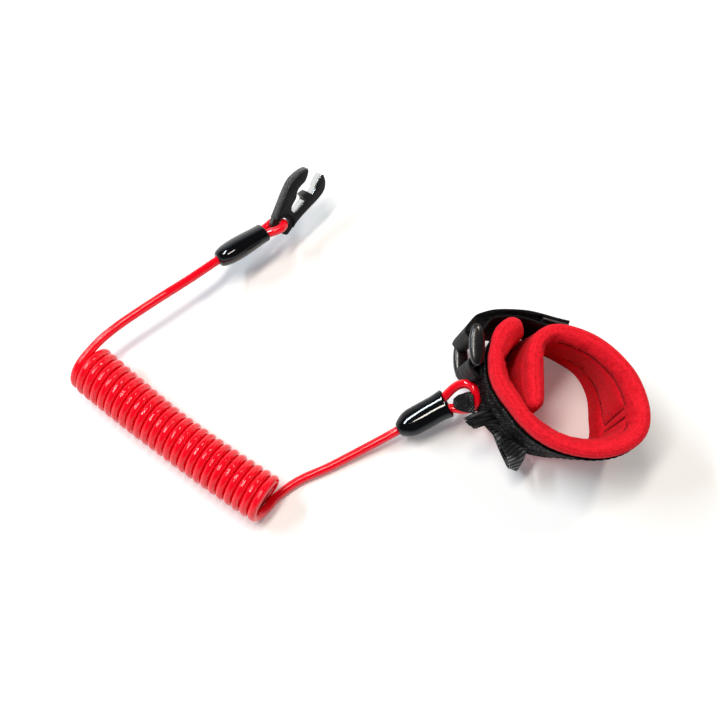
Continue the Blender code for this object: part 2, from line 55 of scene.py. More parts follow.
# Cord and coil
CORD_D = 3.9
CORD_R = CORD_D / 2
STRAND_HALF = CORD_R + GAP / 2
COIL_TURNS = 24.5
COIL_PITCH = 4.05
COIL_START = (-117.75, -6.6)
COIL_AXIS = Vector((0.801, -0.599, 0.0))
COIL_FAR = Vector((0.599, 0.801, 0.0))
COIL_BOW = 1.8  # how far the middle of the coil lies towards the viewer
COIL_RADII = [(0.0, 8.8), (0.05, 9.2), (0.2, 8.9), (0.5, 8.4), (0.8, 8.7), (0.94, 8.9), (1.0, 8.8)]
POINTS_PER_TURN = 40
CORD_STEP = 0.7
LOOP_SOFTENING = 5

# Sleeves
SLEEVE_WALL = 0.8
SLEEVE_IN = CORD_R + GAP + 0.5 + GAP
SLEEVE_OUT = SLEEVE_IN + SLEEVE_WALL
SLEEVE_HOLE = CORD_R + GAP
MOUTH_FLARE = 0.5
FERRULE_AT = 10.0  # where the cap is fullest, from the sleeve's start, and how far that reaches
FERRULE_SPREAD = 10.0
KEY_EYE = Vector((-34.7, 59.3, 17.0))
KEY_N = Vector((0.454, -0.571, 0.685)).normalized()
KEY_SLEEVE_A = Vector((-62.8, 40.4, 18.0))
KEY_SLEEVE_B = Vector((-43.1, 54.7, 16.7))
CUFF_SLEEVE_A = Vector((16.5, -34.4, 7.0))
CUFF_SLEEVE_B = Vector((36.8, -24.75, 14.5))
CUFF_ACROSS = Vector((-0.43, 0.90, 0.0))

# Soft band and webbing
PAD_T = 6.5
PAD_H = 46.0
EDGE_RISE = 0.72  # how far a leaning edge rises over its middle, as a share of half the thickness
TONGUE_CORNER = 6.0
FLAP_CORNER = 3.3
TAPE_T = 1.1
TAPE_LOW = 8.0
TAPE_HIGH = 38.0
TAPE_HALF = (TAPE_HIGH - TAPE_LOW) / 2
BASE_OFFSET = PAD_T / 2 + GAP + TAPE_T / 2
SEAM_HIGH = 36.0
SEAM_LOW = 11.0
SEAM_ENDS = (2.2, 12.9, 13.3, 20.6)  # control points where the two stitched panels start and stop

# Key clip
KEY_L = Vector((0.479, 0.804, 0.353)).normalized()
KEY_ACROSS = KEY_L.cross(KEY_N).normalized()
KEY_T = 6.5
LUG_T = 3.4
EYE_R = 2.45
DISH_R = 4.6
FOOT_TOP = -0.3  # the exact boolean fails when the foot's cut lies on the eye's centre line

# Places in the clip's plane, from the eye, that tell its side walls apart
EYE_AREA = 5.5
SLOT_ACROSS = (-2.6, 5.0)
SLOT_START = 6.0
TOOTH_ACROSS = (-0.5, 4.4)
TOOTH_ALONG = (13.2, 17.8)

# The clip's outline in its own plane, from the eye: across, along, and True where it turns sharply
KEY_OUTLINE = [
    (3.2, -4.1, False), (4.4, -1.6, False), (4.7, 2.2, False), (5.5, 6.4, False), (7.0, 11.6, False),
    (8.6, 17.0, False), (9.2, 20.6, False), (8.8, 23.4, False), (7.4, 25.9, False), (5.4, 27.5, True),
    (4.2, 27.4, True), (3.9, 24.4, False), (4.1, 21.4, True), (4.8, 20.6, True), (4.6, 17.5, True),
    (2.0, 17.4, True), (0.6, 14.7, True), (2.8, 13.6, True), (1.9, 8.2, False), (1.2, 6.4, True),
    (-0.2, 6.6, True), (-1.0, 8.4, False), (-1.1, 12.4, False), (-2.1, 15.4, False), (-1.9, 18.0, False),
    (-1.1, 20.8, False), (-1.4, 23.6, False), (-2.2, 25.8, True), (-3.1, 26.3, True), (-4.7, 24.3, False),
    (-6.0, 21.6, False), (-6.9, 19.0, False), (-7.2, 16.6, False), (-7.1, 14.0, False), (-6.7, 10.0, False),
    (-6.1, 5.4, False), (-5.5, 1.0, False), (-5.2, -2.4, False), (-3.4, -4.4, False),
]

# Ring buckle
BAR_R = 1.7
BAR_SPACING = 13.7
RING_END_LEN = 17.4
RING_END_DEEP = 6.6
RING_END_TALL = 3.8
RING_HALF = 18.0
RING_SWING = BAR_SPACING * math.sin(math.radians(3.0))
ANCHOR_R = BAR_R + GAP + TAPE_T / 2
STRAP_R = ANCHOR_R + RING_SWING + GAP
BAR_OFFSET = BASE_OFFSET + TAPE_T + GAP + ANCHOR_R
RING_MIDDLE = 22.5
RING_UP = Vector((0.098, -0.187, 1.0)).normalized()
RING_N = (Vector((-1.0, 0.0, 0.0)) + RING_UP * RING_UP.x).normalized()
RING_ALONG = RING_N.cross(RING_UP).normalized()
RING_ORIGIN = Vector((56.2 - 4.5 * (1 - RING_MIDDLE / PAD_H) - BAR_OFFSET, -11.9, RING_MIDDLE))

# Middle line of the pad at its top edge: x, y and how far the top leans out past the bottom
PAD_LINE = [
    (66.2, 1.9, -3.8), (60.8, -3.2, -4.0), (56.9, -10.5, -4.3), (56.2, -16.0, -4.5),
    (56.6, -21.5, -3.9), (58.6, -27.0, -2.7), (62.2, -33.0, -1.0), (66.6, -40.0, 2.0),
    (72.5, -46.3, 7.0), (80.5, -50.8, 11.0), (92.0, -53.3, 12.5), (102.8, -51.2, 11.0),
    (110.2, -45.3, 9.5), (111.8, -36.0, 7.5), (108.6, -24.4, 4.0), (102.3, -15.8, -2.0),
    (94.5, -9.2, -6.0), (85.5, -5.2, -8.0), (78.4, -5.2, -6.0), (73.4, -8.8, -3.5),
    (70.8, -14.0, -3.5), (69.8, -20.0, -3.5), (70.2, -27.0, -2.5), (71.6, -33.0, -2.0),
]

# The same for the free end of the pad inside the cuff, which leans further over than the webbing outside it
PAD_FLAP = [(78.4, -4.8, -11.0), (74.2, -8.0, -12.0), (72.2, -13.6, -11.5), (71.6, -20.0, -10.5),
            (71.2, -28.0, -9.0), (70.8, -35.8, -7.0)]

# Free stretches of the strap: x and y of its upper edge, the shift from there to its lower edge, and lift
STRAP_INNER = [(76.5, 1.9, -0.4, 4.0, 0.0), (70.5, 3.9, -0.5, 3.0, 0.3), (64.5, 5.2, -0.6, 1.2, 0.8),
               (59.0, 5.0, -1.0, 0.6, 1.5), (54.0, 3.2, -2.0, 2.4, 2.4)]
STRAP_OUTER = [(47.4, 3.9, -2.6, 4.6, 3.0), (51.5, 6.1, -1.7, 3.3, 2.4), (56.5, 7.5, -1.0, 2.4, 1.7),
               (63.0, 7.9, -0.6, 2.2, 0.9), (69.5, 7.6, -0.5, 2.8, 0.3), (75.0, 6.4, 0.0, 4.0, 0.0),
               (81.0, 4.5, 0.3, 5.0, 0.0), (86.6, 3.0, 0.6, 5.3, 0.0)]

# Edges of the pull tab's webbing and of the cut tail, from the root outwards
TAB_LEFT = [(51.4, -36.0, 21.2), (55.0, -41.2, 23.0), (58.6, -46.7, 21.8), (60.8, -50.8, 18.8),
            (61.6, -52.8, 15.8), (61.2, -51.4, 12.9), (60.0, -47.4, 10.6), (58.0, -42.2, 9.9),
            (56.2, -37.4, 10.4)]
TAB_RIGHT = [(68.8, -46.2, 17.0), (68.6, -48.0, 17.9), (67.8, -50.4, 17.4), (66.4, -52.6, 15.0),
             (65.6, -53.4, 12.6), (66.0, -52.6, 10.0), (67.2, -50.4, 8.0), (68.2, -48.0, 7.0),
             (69.0, -46.4, 7.4)]
TAIL_FAR = [(53.4, -31.4, 27.5), (50.5, -32.2, 28.6), (46.5, -33.4, 28.0), (42.6, -34.9, 26.4)]
TAIL_NEAR = [(57.4, -38.4, 26.5), (54.8, -38.4, 27.6), (51.4, -38.5, 27.2), (47.6, -39.4, 25.6)]

THREAD_R = 0.17
STITCH = 2.5
STITCH_GAP = 0.35


def at(point):
    """A layout point in metres in the row frame."""
    return Vector(((point[0] - FRAME_ORIGIN[0]) * MM, (point[1] - FRAME_ORIGIN[1]) * MM, point[2] * MM))


def smooth_line(points, per_span):
    """Points along a smooth curve that passes through every control point."""
    out = []
    last = len(points) - 1
    for i in range(last):
        p0 = points[max(i - 1, 0)]
        p1 = points[i]
        p2 = points[i + 1]
        p3 = points[min(i + 2, last)]
        for step in range(per_span):
            t = step / per_span
            out.append(tuple(
                0.5 * (2 * b + (c - a) * t + (2 * a - 5 * b + 4 * c - d) * t**2
                       + (3 * b - a - 3 * c + d) * t**3)
                for a, b, c, d in zip(p0, p1, p2, p3)))
    out.append(tuple(points[last]))
    return out


def running_lengths(line):
    """Distance along a line from its start to each of its points."""
    lengths = [0.0]
    for a, b in zip(line, line[1:]):
        lengths.append(lengths[-1] + (b - a).length)
    return lengths


def locate(lengths, reach):
    """Number of the last point before a distance along a line, and the share of the way to the next."""
    i = min(bisect_left(lengths, reach, 1) - 1, len(lengths) - 2)
    return i, (reach - lengths[i]) / max(lengths[i + 1] - lengths[i], 1e-9)


def even_places(lengths, step):
    """Places a set distance apart on a line, as locate() gives them."""
    count = max(2, round(lengths[-1] / step))
    return [locate(lengths, lengths[-1] * i / count) for i in range(count + 1)]


def spaced(points, step):
    """The same line with points a set distance apart."""
    line = [Vector(p) for p in points]
    return [line[i].lerp(line[i + 1], share) for i, share in even_places(running_lengths(line), step)]


def spaced_pairs(edge_a, edge_b, step):
    """Two edge lines with their pairs of points a set distance apart, measured along the middle."""
    middle = [(Vector(a) + Vector(b)) / 2 for a, b in zip(edge_a, edge_b)]
    places = even_places(running_lengths(middle), step)
    return [[Vector(edge[i]).lerp(Vector(edge[i + 1]), share) for i, share in places]
            for edge in (edge_a, edge_b)]


def between(table, share):
    """Smoothly read a value from a table of (share, value) pairs."""
    for (s0, v0), (s1, v1) in zip(table, table[1:]):
        if share <= s1:
            t = (share - s0) / (s1 - s0)
            return v0 + (v1 - v0) * t * t * (3 - 2 * t)
    return table[-1][1]


def hump(place, middle, width):
    """A soft bump: 1 in its middle and fading out on both sides."""
    return math.exp(-((place - middle) / width) ** 2)


def beside(items, i):
    """The items before and after a place in a list, or the end item itself."""
    return items[max(i - 1, 0)], items[min(i + 1, len(items) - 1)]


def round_trip(stops):
    """Stops along the outer face, side 1, and back along the inner one, side -1, without its two ends."""
    return [(1, stop) for stop in stops] + [(-1, stop) for stop in stops[-2:0:-1]]


def quads(rows, size, first=0, closed=False):
    """Faces between rings of points that follow each other; closed also joins the last to the first."""
    faces = []
    for row in range(rows if closed else rows - 1):
        a = first + row * size
        b = first + (row + 1) % rows * size
        for j in range(size):
            k = (j + 1) % size
            faces.append((a + j, a + k, b + k, b + j))
    return faces


def caps(first, end, size):
    """The two end faces of a stack of rings whose points run from first to end."""
    return [tuple(range(first, first + size))[::-1], tuple(range(end - size, end))]


def close_seams(mesh):
    """Joins repeated points and turns all faces outwards."""
    bm = bmesh.new()
    bm.from_mesh(mesh)
    bmesh.ops.remove_doubles(bm, verts=bm.verts, dist=1e-7)
    bmesh.ops.recalc_face_normals(bm, faces=bm.faces)
    bm.to_mesh(mesh)
    bm.free()


def placed(name, data):
    """A new object in the scene."""
    obj = bpy.data.objects.new(name, data)
    bpy.context.scene.collection.objects.link(obj)
    return obj


def round_lines(name, runs, radius, roundness):
    """An object of round lines, one through each run of points."""
    curve = bpy.data.curves.new(name, "CURVE")
    curve.dimensions = "3D"
    curve.bevel_depth = radius * MM
    curve.bevel_resolution = roundness
    curve.use_fill_caps = True
    for run in runs:
        spline = curve.splines.new("POLY")
        spline.points.add(len(run) - 1)
        for target, point in zip(spline.points, run):
            target.co = (*point, 1.0)
        spline.use_smooth = True
    return placed(name, curve)


def dress(obj, body, slot_name, nodes):
    """Puts a piece on its body, with its slot, its material and the nodes that it stands for."""
    if obj.type == "MESH":
        obj.data.polygons.foreach_set("use_smooth", [True] * len(obj.data.polygons))
    obj.data.materials.append(MATERIALS[slot_name])
    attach(obj, body)
    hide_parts(*nodes)
    return obj


# Materials

def new_material(name, colour, roughness, settings=None):
    """A Principled material, its node tree and its shader; settings are values for other sockets."""
    made = bpy.data.materials.new(name)
    made.use_nodes = True
    tree = made.node_tree
    shader = tree.nodes["Principled BSDF"]
    values = {"Base Color": (*colour, 1.0), "Roughness": roughness, **(settings or {})}
    for socket, value in values.items():
        shader.inputs[socket].default_value = value
    return made, tree, shader


def calc(tree, operation, first, second=None, third=None):
    """A Math node; each input is a socket or a number."""
    node = tree.nodes.new("ShaderNodeMath")
    node.operation = operation
    for socket, value in zip(node.inputs, (first, second, third)):
        if value is None:
            continue
        if isinstance(value, (int, float)):
            socket.default_value = value
        else:
            tree.links.new(value, socket)
    return node.outputs[0]


def bump(tree, shader, height, strength, distance):
    node = tree.nodes.new("ShaderNodeBump")
    node.inputs["Strength"].default_value = strength
    node.inputs["Distance"].default_value = distance
    tree.links.new(height, node.inputs["Height"])
    tree.links.new(node.outputs["Normal"], shader.inputs["Normal"])


def cloudy(tree, scale, detail=3.0):
    """Noise in the object's own space; scale is in features per metre."""
    place = tree.nodes.new("ShaderNodeTexCoord")
    node = tree.nodes.new("ShaderNodeTexNoise")
    node.inputs["Scale"].default_value = scale
    node.inputs["Detail"].default_value = detail
    tree.links.new(place.outputs["Object"], node.inputs["Vector"])
    return node.outputs["Fac"]


def blend_colours(tree, factor, low, high, target):
    """Mixes two colours by a factor from 0 to 1."""
    node = tree.nodes.new("ShaderNodeMix")
    node.data_type = "RGBA"
    node.inputs["A"].default_value = (*low, 1.0)
    node.inputs["B"].default_value = (*high, 1.0)
    tree.links.new(factor, node.inputs["Factor"])
    tree.links.new(node.outputs["Result"], target)


def spread(tree, value, low, high, new_low, new_high):
    node = tree.nodes.new("ShaderNodeMapRange")
    for name, number in (("From Min", low), ("From Max", high), ("To Min", new_low), ("To Max", new_high)):
        node.inputs[name].default_value = number
    tree.links.new(value, node.inputs["Value"])
    return node.outputs["Result"]


def yarn_beads(tree, along, across):
    """Yarn beads in brick order, with pitches in mm: their height and a chance for each bead."""
    place = tree.nodes.new("ShaderNodeUVMap")
    place.uv_map = "cloth"
    split = tree.nodes.new("ShaderNodeSeparateXYZ")
    tree.links.new(place.outputs["UV"], split.inputs[0])
    row = calc(tree, "DIVIDE", split.outputs["Y"], across)
    order = calc(tree, "MULTIPLY", calc(tree, "FLOOR", row), 0.5)
    step = calc(tree, "ADD", calc(tree, "DIVIDE", split.outputs["X"], along), order)
    shapes = []
    for value in (calc(tree, "FRACT", row), calc(tree, "FRACT", step)):
        offset = calc(tree, "MULTIPLY_ADD", value, 2.0, -1.0)
        shapes.append(calc(tree, "SUBTRACT", 1.0, calc(tree, "MULTIPLY", offset, offset)))
    height = calc(tree, "POWER", calc(tree, "MULTIPLY", shapes[0], shapes[1]), 0.6)
    bead = tree.nodes.new("ShaderNodeCombineXYZ")
    tree.links.new(calc(tree, "FLOOR", step), bead.inputs["X"])
    tree.links.new(calc(tree, "FLOOR", row), bead.inputs["Y"])
    chance = tree.nodes.new("ShaderNodeTexWhiteNoise")
    tree.links.new(bead.outputs["Vector"], chance.inputs["Vector"])
    return height, chance.outputs["Value"]


def cord_material():
    """Glossy extruded polyurethane, with a faint waviness from the extruder."""
    made, tree, shader = new_material("cord_red", (0.90, 0.003, 0.016), 0.07)
    cloud = cloudy(tree, 260.0)
    blend_colours(tree, cloud, (0.84, 0.002, 0.011), (0.95, 0.003, 0.017), shader.inputs["Base Color"])
    bump(tree, shader, cloud, 0.02, 0.0003)
    return made


def vinyl_material():
    """Dipped vinyl: deep gloss with slow ripples."""
    made, tree, shader = new_material("pvc_black", (0.003, 0.003, 0.0035), 0.06)
    cloud = cloudy(tree, 130.0)
    blend_colours(tree, cloud, (0.002, 0.002, 0.0025), (0.004, 0.004, 0.0048), shader.inputs["Base Color"])
    bump(tree, shader, cloud, 0.10, 0.0006)
    return made


def plastic_material(name="plastic_black", roughness=0.42, level=0.35):
    """Moulded plastic: satin with a fine grain."""
    settings = {"Specular IOR Level": level}
    made, tree, shader = new_material(name, (0.006, 0.006, 0.0065), roughness, settings)
    grain = cloudy(tree, 3800.0, 2.0)
    cloud = cloudy(tree, 220.0)
    blend_colours(tree, cloud, (0.004, 0.004, 0.0045), (0.009, 0.009, 0.0095), shader.inputs["Base Color"])
    satin = spread(tree, cloud, 0.3, 0.7, roughness - 0.05, roughness + 0.07)
    tree.links.new(satin, shader.inputs["Roughness"])
    bump(tree, shader, grain, 0.08, 0.0001)
    return made


def polished_material(name, ior, roughening):
    """The clip's shiny side walls: a higher ior reflects more, and roughening makes it wavier."""
    made, tree, shader = new_material(name, (0.008, 0.008, 0.009), 0.12, {"IOR": ior})
    grain = cloudy(tree, 1500.0, 2.0)
    cloud = cloudy(tree, 420.0)
    tree.links.new(spread(tree, cloud, 0.35, 0.65, 0.08, 0.3), shader.inputs["Roughness"])
    bump(tree, shader, grain, roughening, 0.0004)
    return made


def webbing_material(name, along, across, evenness, shine, painted_glint_grey=0.3):
    """Woven tape: black yarn beads in brick order, with a painted glint, a pale base colour, on some of the
    crowns.
    """
    made, tree, shader = new_material(name, (0.006, 0.006, 0.0065), 0.6, {"Specular IOR Level": shine})
    beads, chance = yarn_beads(tree, along, across)
    chance = spread(tree, chance, 0.0, 1.0, evenness, 1.0)
    # Painted glint: pale grey in the base colour on the tops of some beads, standing in for the light that
    # they catch.
    painted_glint = calc(tree, "MULTIPLY", calc(tree, "POWER", beads, 4.0), chance)
    glint_patches = spread(tree, cloudy(tree, 120.0, 2.0), 0.42, 0.62, 0.12, 1.0)
    painted_glint = calc(tree, "MULTIPLY", painted_glint, calc(tree, "MULTIPLY", chance, glint_patches))
    blend_colours(tree, painted_glint, (0.0018, 0.0018, 0.002), (painted_glint_grey, painted_glint_grey, painted_glint_grey), shader.inputs["Base Color"])
    fibres = cloudy(tree, 2400.0, 2.0)
    height = calc(tree, "MULTIPLY_ADD", fibres, 0.2, beads)
    bump(tree, shader, height, 0.8, 0.0003)
    return made


def knit_material():
    """Brushed knit: fine wales along the band, painted shade in a deeper red between them, random tone from
    noise, soft sheen on top.
    """
    settings = {"Sheen Weight": 0.06, "Sheen Roughness": 0.45, "Sheen Tint": (1.0, 0.35, 0.4, 1.0),
                "Specular IOR Level": 0.15}
    made, tree, shader = new_material("knit_red", (0.8, 0.012, 0.03), 0.85, settings)
    wales = yarn_beads(tree, 0.62, 0.75)[0]
    cloud = cloudy(tree, 900.0, 3.0)
    # Painted shade: darker red in the gaps between the wales, where shade falls, mixed with random tone from
    # the noise.
    wale_shade_and_tone = calc(tree, "MULTIPLY_ADD", wales, 0.6, calc(tree, "MULTIPLY_ADD", cloud, 1.3, -0.45))
    blend_colours(tree, wale_shade_and_tone, (0.50, 0.001, 0.007), (0.92, 0.014, 0.030), shader.inputs["Base Color"])
    bump(tree, shader, wale_shade_and_tone, 0.6, 0.00025)
    return made


def thread_material(name, low, high):
    """Twisted sewing thread."""
    made, tree, shader = new_material(name, high, 0.5, {"Specular IOR Level": 0.3})
    twist = cloudy(tree, 4200.0, 2.0)
    blend_colours(tree, twist, low, high, shader.inputs["Base Color"])
    bump(tree, shader, twist, 0.5, 0.0001)
    return made


def metal_material():
    """Crimped aluminium."""
    made, tree, shader = new_material("ferrule_grey", (0.62, 0.63, 0.65), 0.32, {"Metallic": 1.0})
    grain = cloudy(tree, 900.0)
    tree.links.new(spread(tree, grain, 0.3, 0.7, 0.25, 0.4), shader.inputs["Roughness"])
    bump(tree, shader, grain, 0.2, 0.0001)
    return made


def hook_material():
    """Hook tape: tiny stiff hooks in close rows."""
    made, tree, shader = new_material("hook_black", (0.012, 0.012, 0.013), 0.5)
    place = tree.nodes.new("ShaderNodeTexCoord")
    cells = tree.nodes.new("ShaderNodeTexVoronoi")
    cells.inputs["Scale"].default_value = 900.0
    tree.links.new(place.outputs["Object"], cells.inputs["Vector"])
    blend_colours(tree, cells.outputs["Distance"], (0.03, 0.03, 0.032), (0.004, 0.004, 0.004),
                  shader.inputs["Base Color"])
    bump(tree, shader, cells.outputs["Distance"], 0.8, 0.0004)
    return made


MATERIALS = {
    "cord_red": cord_material(),
    "pvc_black": vinyl_material(),
    "plastic_black": plastic_material(),
    "webbing_black": webbing_material("webbing_black", 1.1, 0.85, 0.6, 0.12),
    "thread_black": thread_material("thread_black", (0.006, 0.006, 0.007), (0.03, 0.03, 0.032)),
    "hook_black": hook_material(),
    "knit_red": knit_material(),
    "ferrule_grey": metal_material(),
}
WALL_POLISH = polished_material("plastic_polished", 1.3, 1.0)
SLOT_POLISH = polished_material("plastic_mirror", 8.0, 0.25)
RING_GLOSS = plastic_material("plastic_ring", 0.24, 0.6)
# The last number of each tape is the grey of its painted glints; the tab's are the brightest.
WIDE_TAPE = webbing_material("webbing_wide", 1.5, 1.6, 0.2, 0.03, 0.27)
TAB_TAPE = webbing_material("webbing_tab", 1.2, 1.0, 1.0, 0.12, 0.6)
RIBBED_TAPE = webbing_material("webbing_ribbed", 14.0, 1.7, 0.3, 0.12, 0.12)
# Real red thread, darkened almost to black: painted shade of the groove that the stitching pulls into the
# knit.
SEAM_THREAD_SHADED = thread_material("thread_red_shaded", (0.05, 0.001, 0.001), (0.16, 0.002, 0.005))


def paint_nodes():
    """Gives every CAD node the material of its slot."""
    slots = {part["node"]: part["material_slot"] for part in frame["record"]["subparts"]}
    for name, obj in frame["nodes"].items():
        obj.data.materials.clear()
        obj.data.materials.append(MATERIALS[slots[name]])


# The cord

def sleeve_axes(start, end, across):
    """Direction along a sleeve and the direction in which its two strands lie side by side."""
    axis = (end - start).normalized()
    square = (across - axis * across.dot(axis)).normalized()
    return axis, square


WAY_IN = ((0, 0), (3, 0.5), (7, STRAND_HALF), (12, STRAND_HALF), (18, STRAND_HALF))
WAY_BACK = ((17, STRAND_HALF), (12, STRAND_HALF), (7.4, STRAND_HALF))


def in_sleeve(start, axis, across, stops):
    """Points of the cord in a sleeve, from the distance along it and half the gap between strands."""
    return [start + axis * t + across * off for t, off in stops]


def key_cord_line():
    """Cord from the top of the coil, through the key's sleeve, through the eye and back."""
    start, end = KEY_SLEEVE_A, KEY_SLEEVE_B
    axis, across = sleeve_axes(start, end, KEY_N)
    length = (end - start).length
    reach = (KEY_EYE - end).dot(axis)
    eye = (KEY_EYE - end).dot(across)
    lift = KEY_EYE - end - axis * reach - across * eye
    run = [(-117.75, -6.6, 19.55), (-116.2, -4.4, 19.6), (-111.6, 1.3, 19.9), (-105.9, 6.6, 20.3),
           (-99.1, 12.0, 20.6), (-86.8, 21.0, 20.9), (-75.5, 29.7, 19.8), (-68.0, 36.0, 18.7)]
    points = [Vector(p) for p in run]
    points += in_sleeve(start, axis, -across, (*WAY_IN, (length - 2, STRAND_HALF + 0.1)))
    # The loop round the eye: along, across and how far it lies back, from the middle of the eye
    loop = [(-6.2, -3.9, 1.0), (-3.3, -5.0, 1.2), (-1.5, -4.3, 0.4), (-0.3, -2.3, 0), (0, 0, 0),
            (-0.3, 2.3, 0), (-1.5, 4.1, 0), (-3.3, 4.9, 0), (-6.2, 3.8, 0)]
    for t, off, back in loop:
        points.append(end + lift + axis * (reach + t) + across * (eye + off) + Vector((0, back, 0)))
    return points + in_sleeve(start, axis, across, ((length - 2, STRAND_HALF), *WAY_BACK))


def cuff_cord_line():
    """Cord from the foot of the coil, through the cuff's sleeve, the tether loop and back."""
    start, end = CUFF_SLEEVE_A, CUFF_SLEEVE_B
    axis, across = sleeve_axes(start, end, CUFF_ACROSS)
    length = (end - start).length
    run = [(-38.3, -66.0, 1.97), (-35.6, -62.6, 1.97), (-29.5, -57.6, 1.97), (-23.4, -54.0, 2.0),
           (-14.0, -49.9, 2.3), (-4.3, -45.0, 3.2), (6.0, -39.8, 4.8), (12.0, -36.7, 5.8)]
    points = [Vector(p) for p in run]
    points += in_sleeve(start, axis, across, (*WAY_IN, (length - 1.5, STRAND_HALF + 0.1)))
    loop = [(38.3, -19.9, 16.3), (41.8, -17.9, 18.6), (45.6, -18.2, 20.5), (48.2, -20.6, 21.0),
            (49.1, -23.7, 20.0), (48.5, -26.4, 18.1), (46.4, -27.8, 16.6), (43.7, -28.0, 15.8),
            (41.0, -27.6, 15.2), (38.9, -26.9, 14.8)]
    points += [Vector(p) for p in loop]
    return points + in_sleeve(start, axis, -across, ((length - 1.0, STRAND_HALF + 0.2), *WAY_BACK))


def softened(line, passes):
    """The same line with its bends evened out; its two ends stay."""
    for _ in range(passes):
        inner = [(a + b * 2 + c) / 4 for a, b, c in zip(line, line[1:], line[2:])]
        line = [line[0]] + inner + [line[-1]]
    return line


def coil_line():
    """The turns of the coil, which lies on the floor and bows a little towards the viewer."""
    points = []
    steps = round(COIL_TURNS * POINTS_PER_TURN)
    for i in range(1, steps):
        share = i / steps
        angle = 2 * math.pi * COIL_TURNS * share
        radius = between(COIL_RADII, share)
        bow = -COIL_BOW * (1 - (2 * share - 1) ** 2)
        middle = Vector((*COIL_START, radius + CORD_R)) + COIL_AXIS * (COIL_TURNS * COIL_PITCH * share)
        middle += COIL_FAR * bow
        points.append(middle + (UP * math.cos(angle) - COIL_FAR * math.sin(angle)) * radius)
    return points


def make_cord():
    """The whole red cord as one curve, from inside the key's sleeve to inside the cuff's."""
    key_side, cuff_side = [
        [at(p) for p in softened(spaced(smooth_line(line, 12), CORD_STEP), LOOP_SOFTENING)]
        for line in (key_cord_line(), cuff_cord_line())]
    points = key_side[::-1] + [at(p) for p in coil_line()] + cuff_side
    cord = round_lines("cord", [points], CORD_R, 7)
    dress(cord, "lanyard", "cord_red", ("cord_key_run", "cord_coil", "cord_cuff_run"))


# Sleeves

def oval(centre, across, up, half, radius, steps=56):
    """A ring of points on an ellipse, half + radius by radius."""
    ring = []
    for step in range(steps):
        angle = 2 * math.pi * step / steps
        side = across * math.cos(angle) * (half + radius)
        ring.append(at(centre + side + up * math.sin(angle) * radius))
    return ring


def lofted(name, rings):
    """A closed wall through rings of points: along the outside and back along the inside."""
    mesh = bpy.data.meshes.new(name)
    verts = [point for ring in rings for point in ring]
    mesh.from_pydata(verts, [], quads(len(rings), len(rings[0]), closed=True))
    close_seams(mesh)
    return placed(name, mesh)


def make_sleeve(name, start, end, across, bulge):
    """Dipped cap: domed where the single cord comes in, fuller over the ferrule, a thin lip at the mouth."""
    axis, across = sleeve_axes(start, end, across)
    length = (end - start).length
    up = axis.cross(across).normalized()
    outer = [(0.0, 0.0, 2.5), (0.15, 0.05, 2.8), (0.6, 0.15, 3.15), (1.3, 0.4, 3.45), (2.3, 0.8, 3.65),
             (3.6, 1.3, 3.8), (5.0, 1.75, SLEEVE_OUT), (7.0, STRAND_HALF, SLEEVE_OUT),
             (10.0, STRAND_HALF, SLEEVE_OUT), (14.0, STRAND_HALF, SLEEVE_OUT),
             (length - 5.0, STRAND_HALF, SLEEVE_OUT),
             (length - 1.5, STRAND_HALF + MOUTH_FLARE * 0.8, SLEEVE_OUT),
             (length - 0.3, STRAND_HALF + MOUTH_FLARE, SLEEVE_OUT),
             (length, STRAND_HALF + MOUTH_FLARE, SLEEVE_OUT - 0.25)]
    inner = [(length, STRAND_HALF + MOUTH_FLARE, SLEEVE_IN + 0.35),
             (length - 0.3, STRAND_HALF + MOUTH_FLARE, SLEEVE_IN + 0.2),
             (length - 5.0, STRAND_HALF, SLEEVE_IN), (7.0, STRAND_HALF, SLEEVE_IN),
             (4.5, 1.4, SLEEVE_IN - 0.1), (2.4, 0.2, SLEEVE_HOLE + 0.2), (0.0, 0.0, SLEEVE_HOLE)]
    rings = []
    for t, half, radius in smooth_line(outer, 3):
        fuller = bulge * hump(t, FERRULE_AT, FERRULE_SPREAD) * min(1.0, radius / SLEEVE_OUT)
        rings.append(oval(start + axis * t, across, up, max(half, 0.0), radius + fuller))
    for t, half, radius in smooth_line(inner, 2):
        rings.append(oval(start + axis * t, across, up, max(half, 0.0), radius))
    dress(lofted(name + "_cap", rings), "lanyard", "pvc_black", (name,))


# The key clip

def smooth_outline(points, per_span):
    """A smooth closed outline that keeps its marked corners."""
    corners = [i for i, (_, _, sharp) in enumerate(points) if sharp]
    out = []
    for start, stop in zip(corners, corners[1:] + [corners[0] + len(points)]):
        run = [points[i % len(points)][:2] for i in range(start, stop + 1)]
        steps = per_span if len(run) > 2 else 2
        out += smooth_line(run, steps)[:-1]
    return [Vector((x, y)) for x, y in out]


def inset(outline, distance):
    """The closed outline moved inwards; its points run anticlockwise."""
    out = []
    for i, point in enumerate(outline):
        before = (point - outline[i - 1]).normalized()
        after = (outline[(i + 1) % len(outline)] - point).normalized()
        along = (before + after).normalized()
        stretch = min(1.6, 1 / max(0.4, along.dot(after)))
        out.append(point + Vector((-along.y, along.x)) * distance * stretch)
    return out


def key_point(x, y, z):
    """A place on the clip in metres, from across, along and out of its plane."""
    return at(KEY_EYE + KEY_ACROSS * x + KEY_L * y + KEY_N * z)


def plate(name, layers):
    """A closed solid from a stack of outlines: each is a height and its points."""
    size = len(layers[0][1])
    verts = [key_point(p.x, p.y, height) for height, outline in layers for p in outline]
    mesh = bpy.data.meshes.new(name)
    mesh.from_pydata(verts, [], caps(0, len(verts), size) + quads(len(layers), size))
    return placed(name, mesh)


def disc(radius, count=48):
    turns = [2 * math.pi * i / count for i in range(count)]
    return [Vector((radius * math.cos(t), radius * math.sin(t))) for t in turns]


